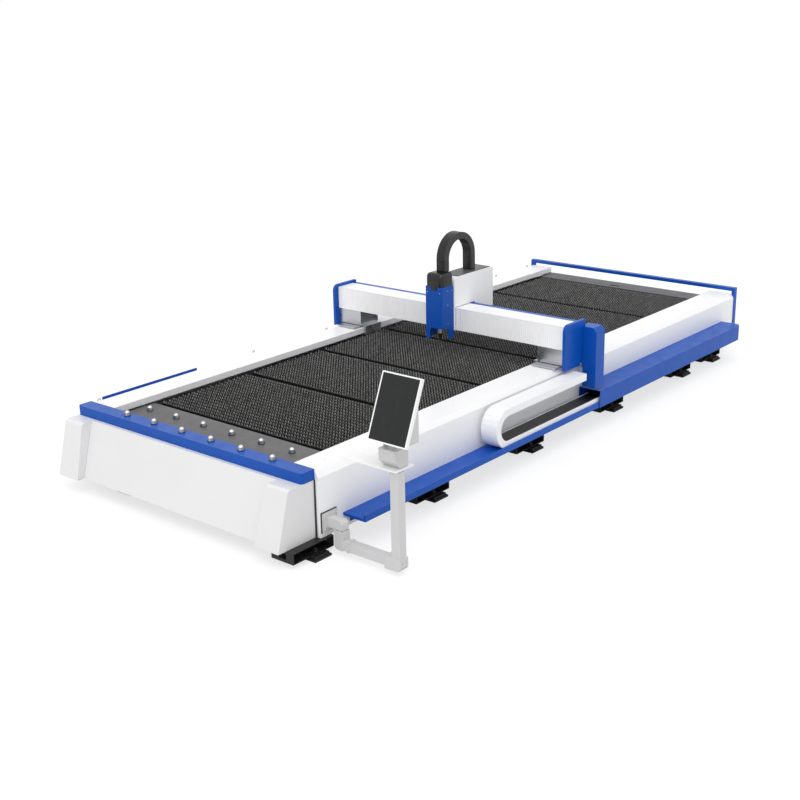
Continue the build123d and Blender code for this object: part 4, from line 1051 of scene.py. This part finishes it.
@dataclass
class CableChain:
    """The cable chain beside the bed: hinged links with white sides and outer lids and black inner lids."""

    seam: float = 0.0005
    side: float = 0.013
    side_edge: float = 0.0022
    lid: float = 0.005
    lid_sink: float = 0.0004
    recess: float = 0.0025
    play: float = 0.0003
    turn_links: int = 12
    turn_steps: int = 4
    across: Flat = (0.0, 0.0)
    centre: float = 0.0
    inner: float = 0.0
    outer: float = 0.0

    def build(self) -> None:
        """Builds the lower run, the bend, the leading link and the upper run."""
        low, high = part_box("chain_bend")
        self.across = (low[0] + self.play, high[0] - self.play)
        self.centre = (low[2] + high[2]) / 2
        self.outer = (high[2] - low[2]) / 2
        run_low, run_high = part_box("chain_upper_run")
        self.inner = self.outer - (run_high[2] - run_low[2])
        self.bend(high[1])
        self.run("chain_lower_run", "cable_chain_lower_run", -1.0)
        self.run("chain_upper_run", "cable_chain_upper_run", 1.0)
        lead_low, lead_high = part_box("chain_upper_link")
        draft = Draft("cable_chain_leading_link", WHITE_PLASTIC, BLACK_PLASTIC)
        self.links(draft, Path(lead_low[1], self.centre), lead_high[1] - lead_low[1])
        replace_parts(draft.piece(Body.CHAIN_LEAD, "white_plastic", 30.0), "chain_upper_link")

    def links(self, draft: Draft, path: Path, reach: float, count: int = 1, steps: int = 1) -> None:
        """Adds a row of links from the start of a path.

        Args:
            draft: The mesh they go into.
            path: The path they follow.
            reach: Where on the path they end.
            count: How many there are.
            steps: How many straight pieces one link follows the path with.
        """
        x0, x1 = self.across
        seam = self.seam / (self.outer if path.turning else 1.0)
        middle = (x0 + self.side, x1 - self.side)
        outer_lid = (self.outer - self.lid, self.outer - self.lid_sink)
        inner_lid = (self.inner + self.recess, self.inner + self.recess + self.lid)
        for place in range(count):
            span = (place * reach / count + seam, (place + 1) * reach / count - seam)
            for sides in ((x0, middle[0]), (middle[1], x1)):
                bar_along(draft, path, span, sides, (self.inner, self.outer), steps, self.side_edge)
            bar_along(draft, path, span, middle, outer_lid, steps)
            bar_along(draft, path, span, middle, inner_lid, steps, kind=1)

    def bend(self, middle_y: float) -> None:
        """Builds the half turn.

        Args:
            middle_y: Where its centre line is along the machine.
        """
        draft = Draft("cable_chain_bend", WHITE_PLASTIC, BLACK_PLASTIC)
        path = Path(middle_y, self.centre, turning=True)
        self.links(draft, path, math.pi, self.turn_links, self.turn_steps)
        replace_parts(draft.piece(Body.CHAIN_TURN, "white_plastic", 30.0), "chain_bend")

    def run(self, node: str, name: str, up: float) -> None:
        """Builds a straight run that grows and shrinks between its two ends, so it has corners only there.

        Args:
            node: The node it stands for.
            name: The piece's name.
            up: 1 for the upper run and -1 for the lower one.
        """
        low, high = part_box(node)
        draft = Draft(name, LINKED_WHITE, LINKED_BLACK)
        self.links(draft, Path(low[1], self.centre, up), high[1] - low[1])
        piece = draft.piece(None, "white_plastic", 30.0)
        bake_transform(piece)
        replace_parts(piece, node)


@dataclass
class Curtains:
    """The two pleated curtains of the gantry: broad soft pleats with narrow folds between them."""

    pitch: float = 0.0245
    fold: float = 0.0055
    groove: float = 0.0052
    shoulder: float = 0.0012
    front_play: float = 0.0004
    rear_play: float = 0.001

    def build(self) -> None:
        """Builds the left and the right curtain."""
        left_low, left_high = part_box("bellows_left")
        right_low, right_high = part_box("bellows_right")
        self.curtain("bellows_left", "pleated_curtain_left", left_low[0], left_high[0])
        self.curtain("bellows_right", "pleated_curtain_right", right_high[0], right_low[0])

    def curtain(self, node: str, name: str, fixed_x: float, moving_x: float) -> None:
        """Builds one curtain.

        Args:
            node: The node it stands for.
            name: The piece's name.
            fixed_x: Its end at the gantry's end plate.
            moving_x: Its end at the carriage.
        """
        low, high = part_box(node)
        start, end = min(fixed_x, moving_x), max(fixed_x, moving_x)
        count = round((end - start) / self.pitch)
        step = (end - start) / count
        front, rear = low[1] + self.front_play, high[1] - self.rear_play
        outline: list[Flat] = [(start, rear)]
        for pleat in range(count):
            x = start + pleat * step
            outline += [(x, front + self.fold), (x + self.groove * 0.5, front + self.shoulder),
                        (x + step * 0.5, front), (x + step - self.groove * 0.5, front + self.shoulder)]
        outline += [(end, front + self.fold), (end, rear)]
        draft = Draft(name, CURTAIN)
        draft.upright(outline[::-1], low[2], high[2])
        piece = draft.piece(None, "bellows_cloth", 30.0)
        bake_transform(piece)
        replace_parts(piece, node)


@dataclass
class CableArch:
    """The flat black cable guide over the head, of short ribbed segments, with a straight leg at both ends.
    """

    segment: float = 0.024
    seam: float = 0.0012
    rib: float = 0.0045
    depth: float = 0.071
    cheek: float = 0.009
    sink: float = 0.002
    play: float = 0.0005
    across: Flat = (0.0, 0.0)

    def build(self) -> None:
        """Builds the guide, which bends between the carriage and the head."""
        low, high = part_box("cable_arch")
        self.across = (low[0] + self.play, high[0] - self.play)
        outer = (high[1] - low[1]) / 2
        inner = outer - self.depth
        centre = high[2] - outer
        path = Path((low[1] + high[1]) / 2, centre, turning=True)
        draft = Draft("cable_guide_arch", BLACK_PLASTIC, GUIDE_SIDE)
        count = round(math.pi * (outer + inner) / 2 / self.segment)
        for place in range(count):
            start = math.pi / 2 + math.pi * place / count
            self.part(draft, path, (start, start + math.pi / count), (inner, outer))
        head_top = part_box("head_cap")[1][2]
        carriage_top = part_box("z_housing_cap")[1][2]
        self.leg(draft, (low[1], low[1] + self.depth), (head_top, centre))
        self.leg(draft, (high[1] - self.depth, high[1]), (carriage_top, centre))
        piece = draft.piece(None, "black_plastic", 30.0)
        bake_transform(piece)
        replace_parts(piece, "cable_arch")

    def part(self, draft: Draft, path: Path, reach: Flat, out: Flat) -> None:
        """Adds one segment of the bend: a ribbed body between two smooth side cheeks.

        Args:
            draft: The mesh it goes into.
            path: The path it follows.
            reach: Where on the path it starts and ends.
            out: Its inner and outer distance from the centre line.
        """
        (x0, x1), cheek = self.across, self.cheek
        seam = self.seam / out[1]
        bar_along(draft, path, (reach[0] + seam, reach[1] - seam), (x0 + cheek, x1 - cheek),
                  (out[0] + self.sink, out[1] - self.rib * 0.4), 2, 0.001)
        span = (reach[0] + seam * 0.3, reach[1] - seam * 0.3)
        for sides in ((x0, x0 + cheek), (x1 - cheek, x1)):
            bar_along(draft, path, span, sides, out, 2, 0.0016, 1)

    def leg(self, draft: Draft, depths: Flat, heights: Flat) -> None:
        """Adds the straight segments of one leg.

        Args:
            draft: The mesh it goes into.
            depths: Its front and its rear.
            heights: Its lower and its upper end.
        """
        (x0, x1), cheek, (y0, y1) = self.across, self.cheek, depths
        count = max(1, round((heights[1] - heights[0]) / self.segment))
        step = (heights[1] - heights[0]) / count
        overlap = self.seam * 0.35
        for place in range(count):
            low = heights[0] + place * step + self.seam / 2
            high = heights[0] + (place + 1) * step - self.seam / 2
            draft.block((x0 + cheek, y0 + self.sink, low), (x1 - cheek, y1 - self.sink, high), 0.001)
            for left, right in ((x0, x0 + cheek), (x1 - cheek, x1)):
                draft.block((left, y0, low - overlap), (right, y1, high + overlap), 0.0014, 1)


@dataclass
class LiftingEyes:
    """Forged ring bolts along the left beam, screwed into its bevel."""

    rows: tuple[float, ...] = (0.282, 2.315, 3.458, 5.1, 6.756, 7.48)
    ring: float = 0.0145
    wire: float = 0.0048
    play: float = 0.0002
    around: int = 28
    section: int = 12
    shank: Profile = ((0.0062, 0.002), (0.0068, 0.006), (0.0095, 0.008), (0.0095, 0.0125), (0.006, 0.0135),
                      (0.006, 0.036))

    def build(self) -> None:
        """Builds all the ring bolts as one piece."""
        low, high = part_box("lifting_eyes")
        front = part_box("front_bar")[0][1]
        x = low[0] + self.wire + self.play
        z = high[2] - self.ring - self.wire - self.play
        draft = Draft("forged_ring_bolts", BRIGHT_STEEL)
        for row in self.rows:
            y = front + row
            self.torus(draft, (x, y, z))
            draft.turned((x, y, z - self.ring), self.shank, Axis.ACROSS, 16)
        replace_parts(draft.piece(Body.BASE, "bright_steel", 50.0), "lifting_eyes")

    def torus(self, draft: Draft, centre: Point) -> None:
        """Adds one ring, which stands across the beam's side.

        Args:
            draft: The mesh it goes into.
            centre: Its centre.
        """
        around, section = self.around, self.section
        points: list[Point] = []
        for step in range(around):
            turn = 2 * math.pi * step / around
            for corner in range(section):
                angle = 2 * math.pi * corner / section
                radius = self.ring + self.wire * math.cos(angle)
                points.append((centre[0] + self.wire * math.sin(angle), centre[1] + radius * math.cos(turn),
                               centre[2] + radius * math.sin(turn)))
        faces: list[tuple[int, ...]] = []
        for step in range(around):
            after = (step + 1) % around
            for corner in range(section):
                follow = (corner + 1) % section
                faces.append((step * section + corner, step * section + follow, after * section + follow,
                              after * section + corner))
        draft.add(points, faces)


@dataclass
class HeadTrim:
    """The head's glossy cap, the cable plug in front of it and the screws of the blue cover."""

    dome: float = 0.046
    play: float = 0.0006
    plug_corner: float = 0.022
    plug_half: float = 0.056
    plug_shift: float = 0.004
    plug_front: float = -0.006
    plug_rear: float = 0.03
    plug_foot: float = -0.03
    plug_top: float = 0.055
    # The screws' places on the cover's side, back from its rear and up from its top, and along its front.
    side_screws: tuple[Flat, ...] = ((-0.1, -0.05), (-0.1, -0.2), (-0.1, -0.4), (-0.03, -0.05))
    front_screws: Flat = (0.03, 0.195)
    front_screw_drop: float = 0.06
    side_head: Profile = ((0.0058, 0.0), (0.0058, 0.0022), (0.0046, 0.0034))
    front_head: Profile = ((0.0046, -0.0036), (0.0058, -0.0022), (0.0058, 0.0))

    def build(self) -> None:
        """Builds the cap with its plug, and the screws."""
        low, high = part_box("head_cap")
        draft = Draft("glossy_head_cap", GLOSS_BLACK)
        draft.hood((low[0] + self.play, low[1] + self.play, low[2]),
                   (high[0] - self.play, high[1], high[2] - self.play), self.dome)
        middle = (low[0] + high[0]) / 2 + self.plug_shift
        draft.hood((middle - self.plug_half, low[1] + self.plug_front, low[2] + self.plug_foot),
                   (middle + self.plug_half, low[1] + self.plug_rear, low[2] + self.plug_top),
                   self.plug_corner)
        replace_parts(draft.piece(Body.HEAD, "black_plastic", 50.0), "head_cap")
        low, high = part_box("head_cover")
        screws = Draft("head_cover_screws", BRIGHT_STEEL)
        for y, z in self.side_screws:
            screws.turned((high[0] - 0.0004, high[1] + y, high[2] + z), self.side_head, Axis.ACROSS, 16)
        for x in self.front_screws:
            spot = (low[0] + x, low[1] + self.play, high[2] - self.front_screw_drop)
            screws.turned(spot, self.front_head, Axis.ALONG, 16)
        screws.piece(Body.HEAD, "bright_steel", 40.0)


@dataclass
class ConsoleTrim:
    """The console's dark wall plate and the screws of its pad and its collar."""

    plate: float = 0.01
    plate_depth: float = 0.006
    plate_foot: float = 0.004
    plate_play: float = 0.0003
    plate_edge: float = 0.0015
    bolt_inset: float = 0.02
    bolt_lift: float = 0.0115
    collar_half: float = 0.022
    collar_lifts: Flat = (0.03, 0.07)
    collar_sink: float = 0.0006
    button: Profile = ((0.0052, 0.0), (0.0052, 0.0014), (0.00364, 0.0032), (0.00208, 0.0034),
                       (0.001872, 0.002))

    def build(self) -> None:
        """Builds the wall plate and the screws."""
        low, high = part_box("console_mount")
        draft = Draft("console_wall_plate", RUBBER, BRIGHT_STEEL)
        draft.block((low[0] - self.plate_play, low[1] - self.plate, low[2] - self.plate_foot),
                    (low[0] + self.plate_depth, high[1] + self.plate * 0.4, high[2] + self.plate),
                    self.plate_edge)
        for y in (low[1] + self.bolt_inset, high[1] - self.bolt_inset):
            for z in (low[2] + self.bolt_inset, high[2] - self.bolt_inset):
                draft.turned((low[0] + self.bolt_lift, y, z), self.button, Axis.ACROSS, 18, 1)
        draft.piece(Body.BASE, "frame_paint", 40.0)
        low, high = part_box("console_pole")
        collar = Draft("console_foot_screws", BRIGHT_STEEL)
        for y in (-self.collar_half, self.collar_half):
            for z in self.collar_lifts:
                spot = (high[0] - self.collar_sink, (low[1] + high[1]) / 2 + y, low[2] + z)
                collar.turned(spot, self.button, Axis.ACROSS, 18)
        collar.piece(Body.CONSOLE_HEAD, "bright_steel", 40.0)


@dataclass
class Seams:
    """Dark rubber seals and joint strips between the sheet-metal parts, and the screws of the beam covers."""

    contact: float = 0.0004
    seal_inside: float = 0.02
    seal_outside: float = 0.009
    seal_foot: float = 0.008
    seal_head: float = 0.002
    seal_edge: float = 0.0006
    strip_start: float = 0.04
    strip_end: float = 0.33
    strip_depth: float = 0.0042
    strip_gap: float = 0.0002
    strip_height: float = 0.004
    strip_edge: float = 0.0004
    bolt_inset: float = 0.03
    bolt_lifts: Flat = (0.016, 0.036)
    strip_bolt: Profile = ((0.003, -0.0046), (0.0042, -0.003), (0.0042, 0.0))
    cover_inset: float = 0.16
    cover_margin: float = 0.25
    cover_rows: int = 9
    cover_sink: float = 0.0003
    cover_screw: Profile = ((0.0048, 0.0), (0.0048, 0.0008), (0.0032, 0.0014))

    def build(self) -> None:
        """Builds the seals, the strips and the screws."""
        self.corner_seals()
        self.box_strips()
        self.cover_screws()

    def corner_seals(self) -> None:
        """Builds the seals between the front housings and the side covers."""
        low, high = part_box("front_housings")
        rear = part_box("side_covers")[0][1] + self.contact
        draft = Draft("front_corner_seals", RUBBER)
        for x0, x1 in ((high[0] - self.seal_inside, high[0] + self.seal_outside),
                       (low[0] - self.seal_outside, low[0] + self.seal_inside)):
            draft.block((x0, high[1] - self.contact, low[2] + self.seal_foot),
                        (x1, rear, high[2] - self.seal_head), self.seal_edge)
        draft.piece(Body.BASE, "frame_paint", 40.0)

    def box_strips(self) -> None:
        """Builds the dark joint strip in front of each stainless box, with its two bolts."""
        low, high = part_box("side_boxes")
        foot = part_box("slide_brackets")[1][2]
        draft = Draft("box_joint_strips", RUBBER, DARK_BOLT)
        bolt = self.strip_end - self.bolt_inset
        for x0, x1, spot in ((low[0] + self.strip_start, low[0] + self.strip_end, low[0] + bolt),
                             (high[0] - self.strip_end, high[0] - self.strip_start, high[0] - bolt)):
            draft.block((x0, low[1] - self.strip_depth, foot + self.strip_gap),
                        (x1, low[1] - self.contact, foot + self.strip_height), self.strip_edge)
            for lift in self.bolt_lifts:
                draft.turned((spot, low[1] + self.contact, low[2] + lift), self.strip_bolt, Axis.ALONG, 12, 1)
        draft.piece(Body.GANTRY, "black_paint", 40.0)

    def cover_screws(self) -> None:
        """Builds the row of button screws along each beam cover."""
        low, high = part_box("beam_covers")
        draft = Draft("beam_cover_screws", BRIGHT_STEEL)
        pitch = (high[1] - low[1] - 2 * self.cover_margin) / (self.cover_rows - 1)
        for x in (low[0] + self.cover_inset, high[0] - self.cover_inset):
            for row in range(self.cover_rows):
                spot = (x, low[1] + self.cover_margin + row * pitch, high[2] - self.cover_sink)
                draft.turned(spot, self.cover_screw, Axis.UP, 14)
        draft.piece(Body.BASE, "bright_steel", 40.0)


def main() -> None:
    """Builds the machine's looks, one sub-assembly after another, and reports each piece."""
    logging.basicConfig(level=logging.INFO, format="%(name)s: %(message)s")
    bpy.context.scene.view_settings.view_transform = "Standard"
    for part in (Studio(), SlatBays(), BallUnits(), CableChain(), Curtains(), CableArch(), LiftingEyes(),
                 HeadTrim(), ConsoleTrim(), Seams()):
        LOG.info("building %s", type(part).__name__)
        part.build()
    SheetWork().dress()


if __name__ == "__main__":
    main()
